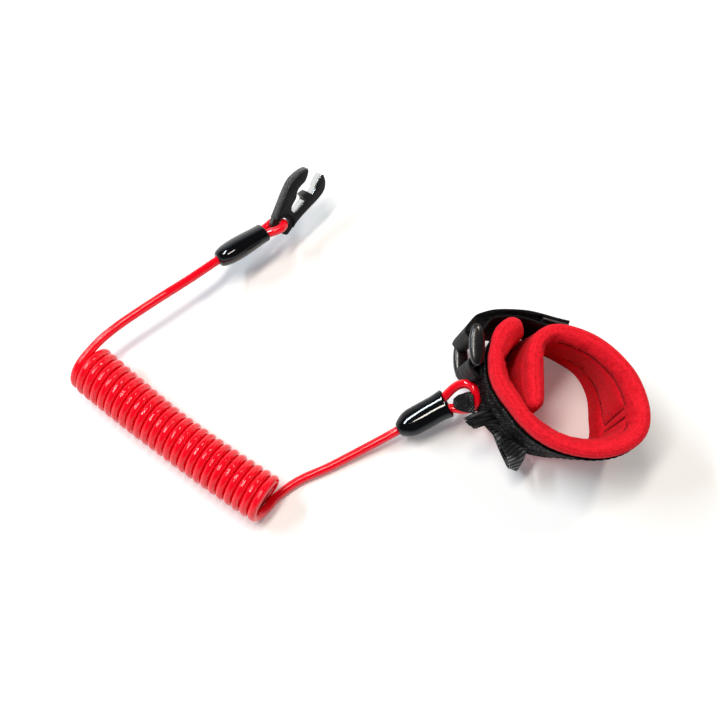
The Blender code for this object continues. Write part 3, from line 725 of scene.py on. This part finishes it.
def cut(target, cutters):
    """Takes the cutters' shapes away from the target and removes the cutters."""
    for cutter in cutters:
        modifier = target.modifiers.new(cutter.name, "BOOLEAN")
        modifier.operation = "DIFFERENCE"
        modifier.solver = "EXACT"
        modifier.object = cutter
    mesh = bpy.data.meshes.new_from_object(target.evaluated_get(bpy.context.evaluated_depsgraph_get()))
    target.modifiers.clear()
    target.data = mesh
    for cutter in cutters:
        bpy.data.objects.remove(cutter)


def key_cutters(over):
    """The eye's bore, and on each face the dish round the eye and the step of the foot."""
    foot = [Vector(p) for p in ((-9, -9), (9, -9), (9, FOOT_TOP), (-9, FOOT_TOP))]
    cutters = [plate("eye", [(-over, disc(EYE_R)), (over, disc(EYE_R))])]
    for side in (-1, 1):
        low, high = sorted((side * LUG_T / 2, side * over))
        cutters.append(plate("dish", [(low, disc(DISH_R)), (high, disc(DISH_R))]))
        cutters.append(plate("foot", [(low, foot), (high, foot)]))
    return cutters


def wall_kind(x, y):
    """Material number of a side wall: 0 satin on the jaw's tooth, 2 in the rest of the slot, 1 outside."""
    if TOOTH_ACROSS[0] < x < TOOTH_ACROSS[1] and TOOTH_ALONG[0] < y < TOOTH_ALONG[1]:
        return 0
    return 2 if SLOT_ACROSS[0] < x < SLOT_ACROSS[1] and y > SLOT_START else 1


def make_key():
    """Forked clip: rounded rims, a dished eye, a thin foot and polished side walls."""
    outline = smooth_outline(KEY_OUTLINE, 8)
    half = KEY_T / 2
    rim = [(half, 0.75), (half - 0.1, 0.42), (half - 0.35, 0.14), (half - 0.75, 0.0)]
    layers = [(-z, inset(outline, back)) for z, back in rim]
    layers += [(z, inset(outline, back)) for z, back in reversed(rim)]
    clip = plate("key", layers)
    cut(clip, key_cutters(half + 1))
    mesh = clip.data
    mesh.materials.clear()
    for material in (MATERIALS["plastic_black"], WALL_POLISH, SLOT_POLISH):
        mesh.materials.append(material)
    for face in mesh.polygons:
        face.use_smooth = True
        place = face.center - at(KEY_EYE)
        if abs(face.normal.dot(KEY_N)) < 0.5 and place.length > EYE_AREA * MM:
            face.material_index = wall_kind(place.dot(KEY_ACROSS) / MM, place.dot(KEY_L) / MM)
    mesh.set_sharp_from_angle(angle=math.radians(38))
    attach(clip, "key")
    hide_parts("key_clip")


# The pad

def wall_rules(line):
    """Foot and top of the pad's middle surface at each place along the line."""
    rules = []
    for i, (x, y, lean) in enumerate(line):
        before, after = beside(line, i)
        along = Vector((after[0] - before[0], after[1] - before[1])).normalized()
        slope = math.atan2(abs(lean), PAD_H)
        edge = EDGE_RISE * PAD_T / 2 * math.sin(slope)
        top = Vector((x, y, PAD_H - edge))
        foot = Vector((x - along.y * lean, y + along.x * lean, edge))
        rules.append((foot, top))
    return rules


def wall_normals(rules):
    """Direction out of the pad at each place."""
    out = []
    for i, (foot, top) in enumerate(rules):
        before, after = beside(rules, i)
        along = (after[0] + after[1] - before[0] - before[1]) / 2
        out.append(along.cross(top - foot).normalized())
    return out


def wall_lengths(rules):
    """Distance along the pad's middle from its start to each place."""
    lengths = [0.0]
    for a, b in zip(rules, rules[1:]):
        lengths.append(lengths[-1] + ((b[0] + b[1] - a[0] - a[1]) / 2).length)
    return lengths


def leaning(line, low, high, offset):
    """Top and bottom edges of a band that follows the leaning wall, set off outwards from it."""
    rules = wall_rules(line)
    edges = []
    for height in (high, low):
        middle = [foot.lerp(top, height / PAD_H) for foot, top in rules]
        edge = []
        for i, point in enumerate(middle):
            before, after = beside(middle, i)
            out = (after - before).cross(rules[i][1] - rules[i][0]).normalized()
            edge.append(point + out * offset)
        edges.append(edge)
    return edges


PAD_STEPS = 12  # rows between two control points of the pad's line
PAD_ROWS = smooth_line(PAD_LINE, PAD_STEPS)
PAD_RULES = wall_rules(smooth_line(PAD_LINE[:-len(PAD_FLAP)] + PAD_FLAP, PAD_STEPS))
PAD_NORMALS = wall_normals(PAD_RULES)
PAD_REACH = wall_lengths(PAD_RULES)


def pad_place(reach):
    """Row number, as a fraction, at a distance along the pad."""
    return sum(locate(PAD_REACH, reach))


def pad_point(row, height, offset):
    """A layout point on the pad: row number as a fraction, height on the wall and distance outwards."""
    i = min(int(row), len(PAD_RULES) - 2)
    share = row - i
    foot = PAD_RULES[i][0].lerp(PAD_RULES[i + 1][0], share)
    top = PAD_RULES[i][1].lerp(PAD_RULES[i + 1][1], share)
    out = PAD_NORMALS[i].lerp(PAD_NORMALS[i + 1], share).normalized()
    return foot.lerp(top, height / PAD_H) + out * offset


def rounded_stops(length, radius, step):
    """Distances from 0 to length, close together in the rounding at each end."""
    near = [radius * (1 - math.cos(math.pi / 2 * i / 6)) for i in range(7)]
    count = max(1, round((length - 2 * radius) / step))
    middle = [radius + (length - 2 * radius) * i / count for i in range(1, count)]
    return near + middle + [length - value for value in reversed(near)]


def edge_share(distance, radius):
    """Share of the full thickness at a distance from a rounded edge."""
    if distance >= radius:
        return 1.0
    return math.sqrt(max(0.0, 1 - (1 - distance / radius) ** 2))


def seam_depth(control, height):
    """How far a point is pulled in by the stitching on the inner face, from 0 to 1."""
    pulled = 0.0
    for start, stop in (SEAM_ENDS[:2], SEAM_ENDS[2:]):
        if start <= control <= stop:
            for seam in (SEAM_HIGH, SEAM_LOW):
                pulled = max(pulled, hump(height, seam, 0.8))
        if SEAM_LOW <= height <= SEAM_HIGH:
            for seam in (start, stop):
                pulled = max(pulled, hump(control, seam, 0.09))
    return pulled


INNER_SLOPE = 8.0  # the inner face rounds over from the seam up to the edge
INNER_FOOT = 1.6  # and over a shorter way at its foot
FOOT_FLARE = 3.6  # how far the far wall's foot spreads inwards on the floor
TONGUE_SWELL = 0.4  # extra thickness near the tongue's end, as a share, on each face
START_SWELL = 0.5
SEAM_PULL = 0.85
LUMPS = 0.25
FOLDS = 0.45


def pad_offset(side, reach, height, edge, end):
    """How far the pad's surface lies from its middle, on the outer or the inner face.

    edge and end are the distances to the nearest long edge and to the nearest end of the band.
    """
    control = pad_place(reach) / PAD_STEPS
    body = PAD_T / 2 * edge_share(end, PAD_T / 2)
    if side == 1:
        offset = body * edge_share(edge, PAD_T / 2)
        offset *= 1 + TONGUE_SWELL * hump(reach, 9, 6)
    else:
        offset = body * edge_share(edge, INNER_SLOPE if height > PAD_H / 2 else INNER_FOOT)
        offset *= 1 + START_SWELL * hump(reach, 0, 14)
        flare = FOOT_FLARE * hump(control, 13.6, 2.6) * max(0.0, 1 - height / SEAM_LOW)
        offset += flare * edge_share(edge, INNER_FOOT)
    calm = min(1.0, edge / 4.0, end / 4.0)
    lump = noise.noise(Vector((reach * 0.09, height * 0.11, side * 5.0)))
    offset += LUMPS * calm * lump
    if side == -1:
        offset -= SEAM_PULL * calm * seam_depth(control, height)
        offset += FOLDS * calm * hump(control, 12.6, 0.55) * math.sin(reach * 1.7 + height * 0.08)
    return offset


def pad_hold(side, control, height):
    """How firmly the cloth is held: fully at the foot and under the tape, and along the seams."""
    if height < 3.5 or (side == 1 and TAPE_LOW - 1 < height < TAPE_HIGH + 1):
        return 1.0
    return max(0.08, seam_depth(control, height) if side == -1 else 0.0)


def make_pad():
    """Foam band in knit: full round edges, rounded corners, stitched panels and soft folds."""
    total = PAD_REACH[-1]
    verts, uvs, held = [], [], []
    stops = rounded_stops(total, PAD_T / 2, 1.0)
    for reach in stops:
        row = pad_place(reach)
        end = min(reach, total - reach)
        full = TONGUE_CORNER if reach < total / 2 else FLAP_CORNER
        corner = full - math.sqrt(max(0.0, full**2 - max(0.0, full - end) ** 2))
        heights = [corner + h * (1 - 2 * corner / PAD_H) for h in rounded_stops(PAD_H, PAD_T / 2, 1.1)]
        for side, height in round_trip(heights):
            edge = min(height - heights[0], heights[-1] - height)
            offset = pad_offset(side, reach, height, edge, end)
            verts.append(at(pad_point(row, height, side * offset)))
            uvs.append((reach, height if side == 1 else 2 * PAD_H - height))
            held.append(pad_hold(side, row / PAD_STEPS, height))
    pad = cloth_mesh("pad", verts, quads(len(stops), len(verts) // len(stops)), uvs, held)
    dress(pad, "lanyard", "knit_red", ("cuff_pad",))
    puff(pad)


PUFF_FRAMES = 12
PUFF_CAP = 0.6
CLOTH_SCALE = 10.0  # the solver works better on a larger copy


def puff(piece):
    """Runs the foam band as cloth under light pressure, held at its seams and tape, and keeps the result."""
    mesh = piece.data
    before = [vert.co.copy() for vert in mesh.vertices]
    group = piece.vertex_groups.new(name="held")
    for vert, value in zip(mesh.vertices, mesh.attributes["held"].data):
        group.add([vert.index], value.value, "REPLACE")
        vert.co = vert.co * CLOTH_SCALE
    cloth = piece.modifiers.new("cloth", "CLOTH")
    cloth.settings.vertex_group_mass = "held"
    cloth.settings.use_pressure = True
    cloth.settings.uniform_pressure_force = 4.0
    cloth.settings.shrink_min = -0.03
    cloth.settings.quality = 4
    cloth.settings.effector_weights.gravity = 0.0
    cloth.collision_settings.use_collision = False
    cloth.point_cache.frame_end = PUFF_FRAMES
    for number in range(1, PUFF_FRAMES + 1):
        bpy.context.scene.frame_set(number)
    shaped = piece.evaluated_get(bpy.context.evaluated_depsgraph_get()).data
    for vert, old, new in zip(mesh.vertices, before, shaped.vertices):
        move = new.co / CLOTH_SCALE - old
        move *= min(1.0, PUFF_CAP * MM / max(move.length, 1e-9))
        vert.co = old + move
        vert.co.z = max(vert.co.z, 0.0)
    piece.modifiers.clear()
    piece.vertex_groups.clear()
    mesh.attributes.remove(mesh.attributes["held"])
    bpy.context.scene.frame_set(1)


def cloth_mesh(name, verts, faces, uvs, held=()):
    """An object with a UV map in millimetres, whose seam of repeated points is closed."""
    mesh = bpy.data.meshes.new(name)
    mesh.from_pydata(verts, [], faces)
    if held:
        mesh.attributes.new("held", "FLOAT", "POINT").data.foreach_set("value", held)
    layer = mesh.uv_layers.new(name="cloth")
    for loop in mesh.loops:
        layer.data[loop.index].uv = uvs[loop.vertex_index]
    close_seams(mesh)
    return placed(name, mesh)


# Webbing

ROW_STEP = 0.36
COLUMNS = 28
SELVEDGE = 0.45
TOOTH = 0.16
TOOTH_PITCH = 1.1
RIB_HEIGHT = 0.45
RIB_WIDTH = 0.07  # as a share of the tape's width
FRAY_TEETH = 16


def strap(name, edge_a, edge_b, nodes, material=None, ribs=(), frayed=0.0):
    """Woven tape between two edge lines, with the small loops of weft along both edges.

    Ribs are raised lines at a share of the width, and frayed is the depth of the teeth of its cut end.
    """
    edge_a, edge_b = spaced_pairs(edge_a, edge_b, ROW_STEP)
    middle = [(a + b) / 2 for a, b in zip(edge_a, edge_b)]
    verts, uvs = [], []
    for i, reach in enumerate(running_lengths(middle)):
        a, b = edge_a[i], edge_b[i]
        before, after = beside(middle, i)
        along = after - before
        across = (b - a).normalized()
        width = (b - a).length
        out = along.cross(across).normalized()
        tooth = TOOTH * (0.5 - 0.5 * math.cos(2 * math.pi * reach / TOOTH_PITCH))
        stops = [0.0, SELVEDGE * 0.3, SELVEDGE]
        stops += [SELVEDGE + (width - 2 * SELVEDGE) * j / COLUMNS for j in range(1, COLUMNS)]
        stops += [width - value for value in (SELVEDGE, SELVEDGE * 0.3, 0.0)]
        for side, v in round_trip(stops):
            edge = min(v, width - v)
            half = TAPE_T / 2 * edge_share(edge, SELVEDGE)
            half += sum(RIB_HEIGHT * hump(v / width, rib, RIB_WIDTH) for rib in ribs)
            shift = 0.0
            if edge < SELVEDGE:
                shift = (TOOTH - tooth) * (1 if v < width / 2 else -1)
            place = a + across * (v + shift) + out * side * half
            if frayed and i >= len(edge_a) - 2:
                place += along.normalized() * frayed * math.sin(v / width * math.pi * FRAY_TEETH)
            verts.append(at(place))
            uvs.append((reach, v))
    size = len(verts) // len(edge_a)
    faces = caps(0, len(verts), size) + quads(len(edge_a), size)
    piece = dress(cloth_mesh(name, verts, faces, uvs), "lanyard", "webbing_black", nodes)
    if material:
        piece.data.materials[0] = material


def ring_point(t, n, up):
    """A layout point from ring coordinates: along the wall, outwards and along the bars."""
    return RING_ORIGIN + RING_ALONG * t + RING_N * n + RING_UP * up


def swell(share, power):
    """Half width, from 1 in the middle to 0 at both ends."""
    return (1 - min(1.0, abs(share)) ** power) ** (1 / power)


def squarer(value):
    """A sine or cosine that makes a circle a little squarer."""
    return math.copysign(abs(value) ** 0.8, value)


def end_bar(side):
    """Rings of points of one lens-shaped end bar; side is 1 for the upper one."""
    rings = []
    for i in range(41):
        share = -math.cos(math.pi * i / 40)
        t = BAR_SPACING / 2 + share * RING_END_LEN / 2
        deep = RING_END_DEEP / 2 * max(0.02, swell(share, 2.3))
        tall = RING_END_TALL / 2 * max(0.02, swell(share, 3.2))
        ring = []
        for step in range(32):
            angle = 2 * math.pi * step / 32
            up = side * RING_HALF + squarer(math.sin(angle)) * tall
            ring.append(at(ring_point(t, squarer(math.cos(angle)) * deep, up)))
        rings.append(ring)
    return rings


def tube(t, radius):
    """Rings of points of one round bar."""
    rings = []
    for i in range(25):
        up = -RING_HALF + 2 * RING_HALF * i / 24
        rings.append([at(ring_point(t + radius * math.cos(a), radius * math.sin(a), up))
                      for a in (2 * math.pi * step / 24 for step in range(24))])
    return rings


def make_ring():
    """Moulded ring: two swollen end bars joined by two round bars."""
    verts, faces = [], []
    for rings in (end_bar(1), end_bar(-1), tube(0.0, BAR_R), tube(BAR_SPACING, BAR_R)):
        first, size = len(verts), len(rings[0])
        verts += [point for ring in rings for point in ring]
        faces += quads(len(rings), size, first) + caps(first, len(verts), size)
    mesh = bpy.data.meshes.new("ring")
    mesh.from_pydata(verts, [], faces)
    ring = dress(placed("ring", mesh), "ring", "plastic_black", ("ring_buckle",))
    ring.data.materials[0] = RING_GLOSS


def ring_edges(path):
    top = [ring_point(t, n, TAPE_HALF) for t, n in path]
    bottom = [ring_point(t, n, -TAPE_HALF) for t, n in path]
    return top, bottom


def arc(centre, radius, start, end, steps):
    out = []
    for i in range(steps + 1):
        angle = math.radians(start + (end - start) * i / steps)
        out.append((centre[0] + radius * math.cos(angle), centre[1] + radius * math.sin(angle)))
    return out


def smooth_edges(rows, per_span):
    """Two smooth edge lines from pairs of upper and lower points."""
    dense = smooth_line([tuple(high) + tuple(low) for high, low in rows], per_span)
    return [Vector(row[:3]) for row in dense], [Vector(row[3:]) for row in dense]


def free_rows(table):
    return [((x, y, TAPE_HIGH + lift), (x + dx, y + dy, TAPE_LOW + lift)) for x, y, dx, dy, lift in table]


def pad_rows(start, end):
    """The smooth pad line between two control points."""
    return PAD_ROWS[round(start * PAD_STEPS):round(end * PAD_STEPS) + 1]


def base_edges():
    return leaning(pad_rows(1.5, 16.17), TAPE_LOW, TAPE_HIGH, BASE_OFFSET)


def anchor_edges():
    """Webbing folded round the ring's near bar."""
    r = ANCHOR_R
    path = [(-5.6, -r), (-2.8, -r)]
    path += arc((0, 0), r, -90, 90, 12)
    path += [(-1.3, 2.2), (-2.6, 1.3), (-4.2, -0.1), (-5.6, -r + TAPE_T + GAP)]
    return ring_edges([(p.x, p.y) for p in spaced([(t, n, 0) for t, n in path], 0.6)])


def cinch_edges():
    """Strap from the far wall, through the ring and folded back over itself."""
    high, low = leaning(PAD_ROWS, TAPE_LOW, TAPE_HIGH, BASE_OFFSET)
    rows = []
    for place in (16.25, 16.6, 17.0, 17.45):
        i = round(place * PAD_STEPS)
        rows.append((high[i], low[i]))
    rows += free_rows(STRAP_INNER)
    far, r = BAR_SPACING, STRAP_R
    for t, n in [(far, -r)] + arc((far, 0), r, -120, -240, 4) + [(far, r)]:
        rows.append((ring_point(t, n, TAPE_HALF), ring_point(t, n, -TAPE_HALF)))
    rows += free_rows(STRAP_OUTER)
    return smooth_edges(rows, 8)


def tether_frame():
    rise = Vector((-0.40, -0.39, 0.83)).normalized()
    width = Vector((-0.25, -0.90, 0.0))
    width = (width - rise * width.dot(rise)).normalized()
    tip = width.cross(rise).normalized()
    return rise, width, tip, Vector((47.7, -24.6, 19.0))


TETHER_R = CORD_R + GAP + TAPE_T / 2 + 0.45


def tether_edges():
    """Narrow webbing eye that stands out from the wall and holds the cord's loop."""
    rise, width, tip, middle = tether_frame()
    reach = 8.2
    r = TETHER_R
    sides = []
    for across, root, narrower in ((-2.9, -0.6, 3.6), (5.4, -2.2, -1.4)):
        path = [(root, r - 0.2, 0), (1.2, r, 0), (reach - 4.2, r, 0.15), (reach - 2.2, r * 0.85, 0.4),
                (reach - 0.9, r * 0.6, 0.75), (reach, 0, 1), (reach - 0.9, -r * 0.6, 0.75),
                (reach - 2.2, -r * 0.85, 0.4), (reach - 4.2, -r, 0.15), (1.2, -r, 0), (root, -r + 0.2, 0)]
        sides.append([middle + width * (across + narrower * n) + tip * p + rise * q for p, q, n in path])
    return smooth_edges(list(zip(*sides)), 6)


def make_webbing():
    strap("base_tape", *base_edges(), ("base_webbing",), WIDE_TAPE)
    strap("anchor_tape", *anchor_edges(), ("ring_anchor",), RIBBED_TAPE)
    strap("cinch_tape", *cinch_edges(), ("cinch_strap",), RIBBED_TAPE)
    strap("tether_tape", *tether_edges(), ("tether_loop",))
    strap("tail_tape", *smooth_edges(list(zip(TAIL_FAR, TAIL_NEAR)), 8), ("webbing_tail",), RIBBED_TAPE,
          (0.25, 0.55, 0.8), 0.8)
    strap("tab_tape", *smooth_edges(list(zip(TAB_LEFT, TAB_RIGHT)), 8), ("pull_tab",), TAB_TAPE)


# Threads

def thread_piece(name, runs, material, nodes=(), radius=THREAD_R):
    """A piece of sewing: one round thread for each run."""
    obj = round_lines(name, [[at(point) for point in run] for run in runs], radius, 2)
    obj.data.materials.append(material)
    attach(obj, "lanyard")
    if nodes:
        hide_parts(*nodes)


def stitch_runs(line, outs):
    """Single stitches along a line of points, each a short thread that dips into the cloth at both ends."""
    runs = []
    lengths = running_lengths(line)
    reach = 0.4
    while reach + STITCH < lengths[-1]:
        run = []
        for share, height in ((0.0, -0.25), (0.12, 0.05), (0.5, 0.12), (0.88, 0.05), (1.0, -0.25)):
            i, part = locate(lengths, reach + STITCH * share)
            out = outs[i].lerp(outs[i + 1], part)
            run.append(line[i].lerp(line[i + 1], part) + out * height)
        runs.append(run)
        reach += STITCH + STITCH_GAP
    return runs


def wall_stitches(start, end, height, offset):
    """A row of stitches on the wall between two control points."""
    rows = range(round(start * PAD_STEPS), round(end * PAD_STEPS) + 1)
    line = [pad_point(i, height, offset) for i in rows]
    outs = [PAD_NORMALS[i] * (1 if offset > 0 else -1) for i in rows]
    return stitch_runs(line, outs)


def make_stitches():
    tape_face = BASE_OFFSET + TAPE_T / 2
    runs = []
    for height in (TAPE_LOW + 2.0, TAPE_HIGH - 2.0):
        runs += wall_stitches(2.8, 15.9, height, tape_face)
    thread_piece("tape_stitches", runs, MATERIALS["thread_black"])
    inner = -(PAD_T / 2 - 0.4)
    runs = []
    for start, stop in (SEAM_ENDS[:2], SEAM_ENDS[2:]):
        for height in (SEAM_LOW, SEAM_HIGH):
            runs += wall_stitches(start, stop, height, inner)
        for place in (start, stop):
            row = place * PAD_STEPS
            line = [pad_point(row, SEAM_LOW + (SEAM_HIGH - SEAM_LOW) * i / 20, inner) for i in range(21)]
            runs += stitch_runs(line, [-PAD_NORMALS[round(row)]] * 21)
    # The inner seams use the darkened thread, whose colour paints the shade in their grooves.
    thread_piece("pad_stitches", runs, SEAM_THREAD_SHADED)


def zigzag(name, edge_a, edge_b, passes, node):
    """A bartack: thread that goes to and fro between two edges."""
    run = []
    for i in range(passes):
        share = i / (passes - 1)
        row = share * (len(edge_a) - 1)
        j = min(int(row), len(edge_a) - 2)
        edge = edge_a if i % 2 == 0 else edge_b
        run.append(edge[j].lerp(edge[j + 1], row - j))
    thread_piece(name, [run], MATERIALS["thread_black"], (node,), 0.24)


def anchor_thread():
    """The block of stitches that closes the ring's anchor."""
    edges = []
    for t, n in ((-5.95, 0.05), (-4.75, 0.95)):
        top = ring_point(t, n, TAPE_HALF - 2)
        bottom = ring_point(t, n, 2.5)
        edges.append([top.lerp(bottom, i / 10) for i in range(11)])
    zigzag("anchor_thread", *edges, 30, "anchor_bartack")


def tether_thread():
    """The block of stitches that closes the tether loop."""
    rise, width, tip, middle = tether_frame()
    over = TETHER_R + TAPE_T / 2 + 0.2
    edges = []
    for reach in (0.9, 1.9):
        edges.append([middle + width * side * 2.3 + tip * reach + rise * over
                      for side in (-1, -0.5, 0, 0.5, 1)])
    zigzag("tether_thread", *edges, 16, "tether_bartack")


def tab_thread():
    """The block of stitches that closes the pull tab."""
    (left_a, right_a), (left_b, right_b) = [
        (Vector(a), Vector(b)) for a, b in zip(TAB_LEFT[1:3], TAB_RIGHT[1:3])]
    out = (right_a - left_a).cross(left_b - left_a).normalized()
    if out.z < 0:
        out = -out
    out = out * (TAPE_T / 2 + 0.25)
    edges = []
    for share in (0.25, 0.55):
        left = left_a.lerp(left_b, share)
        right = right_a.lerp(right_b, share)
        edges.append([left.lerp(right, 0.15 + 0.7 * i / 6) + out for i in range(7)])
    zigzag("tab_thread", *edges, 22, "tab_bartack")


# Camera, floor and light

def make_camera():
    """The photo's view, from above and in front."""
    data = bpy.data.cameras.new("camera")
    data.lens = 55.0
    data.sensor_width = 36.0
    camera = placed("camera", data)
    camera.location = (-0.02505, -0.18001, 0.45940)
    camera.rotation_euler = (math.radians(20.0), 0.0, 0.0)
    bpy.context.scene.camera = camera


FLOOR_LIFT = 0.11  # what the camera and reflections see of the floor near the object besides its own shading


def make_floor():
    """A white floor that shows as white to the camera and keeps the object's shadow."""
    half = 3.0
    mesh = bpy.data.meshes.new("floor")
    corners = [(-half, -half, 0), (half, -half, 0), (half, half, 0), (-half, half, 0)]
    mesh.from_pydata(corners, [], [(0, 1, 2, 3)])
    floor = placed("floor", mesh)
    floor.location.z = -0.0001
    settings = {"Specular IOR Level": 0.1, "Emission Color": (1.0, 1.0, 1.0, 1.0)}
    made, tree, shader = new_material("floor_white", (0.92, 0.92, 0.92), 0.6, settings)
    rays = tree.nodes.new("ShaderNodeLightPath")
    place = tree.nodes.new("ShaderNodeTexCoord")
    reach = tree.nodes.new("ShaderNodeVectorMath")
    reach.operation = "LENGTH"
    tree.links.new(place.outputs["Object"], reach.inputs[0])
    far = spread(tree, reach.outputs["Value"], 0.4, 1.3, FLOOR_LIFT, 1.0)
    seen = calc(tree, "MULTIPLY", rays.outputs["Is Camera Ray"], far)
    mirrored = calc(tree, "MULTIPLY", rays.outputs["Is Glossy Ray"], FLOOR_LIFT)
    tree.links.new(calc(tree, "ADD", seen, mirrored), shader.inputs["Emission Strength"])
    mesh.materials.append(made)


def area_light(name, direction, distance, size, watts, long_side, colour):
    """A rectangular lamp that faces the object; long_side is the direction of its longer side."""
    data = bpy.data.lights.new(name, "AREA")
    data.shape = "RECTANGLE"
    data.size, data.size_y = size
    data.energy = watts
    data.color = colour
    light = placed(name, data)
    back = Vector(direction).normalized()
    side = Vector(long_side) - back * back.dot(Vector(long_side))
    side.normalize()
    turn = Matrix((side, back.cross(side), back)).transposed()
    light.matrix_world = Matrix.Translation(back * distance) @ turn.to_4x4()


def make_light():
    """Narrow lamps, warm overhead and cool at the left, a small warm one behind, and a pale room."""
    area_light("overhead", (-0.24, 0.02, 0.97), 1.1, (0.7, 0.12), 7.4, COIL_FAR, (1.0, 0.94, 0.86))
    area_light("window", (-0.60, 0.26, 0.76), 1.5, (0.8, 0.10), 11.5, (0.0, 1.0, 0.0), (0.80, 0.92, 1.0))
    area_light("behind", (0.40, 0.42, 0.81), 1.2, (0.24, 0.14), 3.6, COIL_FAR, (1.0, 0.88, 0.76))
    world = bpy.data.worlds.new("world")
    bpy.context.scene.world = world
    world.use_nodes = True
    tree = world.node_tree
    place = tree.nodes.new("ShaderNodeTexCoord")
    split = tree.nodes.new("ShaderNodeSeparateXYZ")
    tree.links.new(place.outputs["Generated"], split.inputs[0])
    background = tree.nodes["Background"]
    height = calc(tree, "MAXIMUM", split.outputs["Z"], 0.0)
    strength = spread(tree, height, 0.1, 0.55, 1.2, 0.04)
    tree.links.new(strength, background.inputs["Strength"])
    side = spread(tree, split.outputs["X"], -0.8, 0.8, 0.0, 1.0)
    blend_colours(tree, side, (0.80, 0.91, 1.0), (0.94, 0.97, 1.0), background.inputs["Color"])


paint_nodes()
make_cord()
make_sleeve("key_sleeve", KEY_SLEEVE_A, KEY_SLEEVE_B, KEY_N, 0.9)
make_sleeve("cuff_sleeve", CUFF_SLEEVE_A, CUFF_SLEEVE_B, CUFF_ACROSS, 0.2)
make_key()
make_pad()
make_ring()
make_webbing()
make_stitches()
anchor_thread()
tether_thread()
tab_thread()
make_camera()
make_floor()
make_light()
bpy.context.scene.view_settings.view_transform = "Standard"
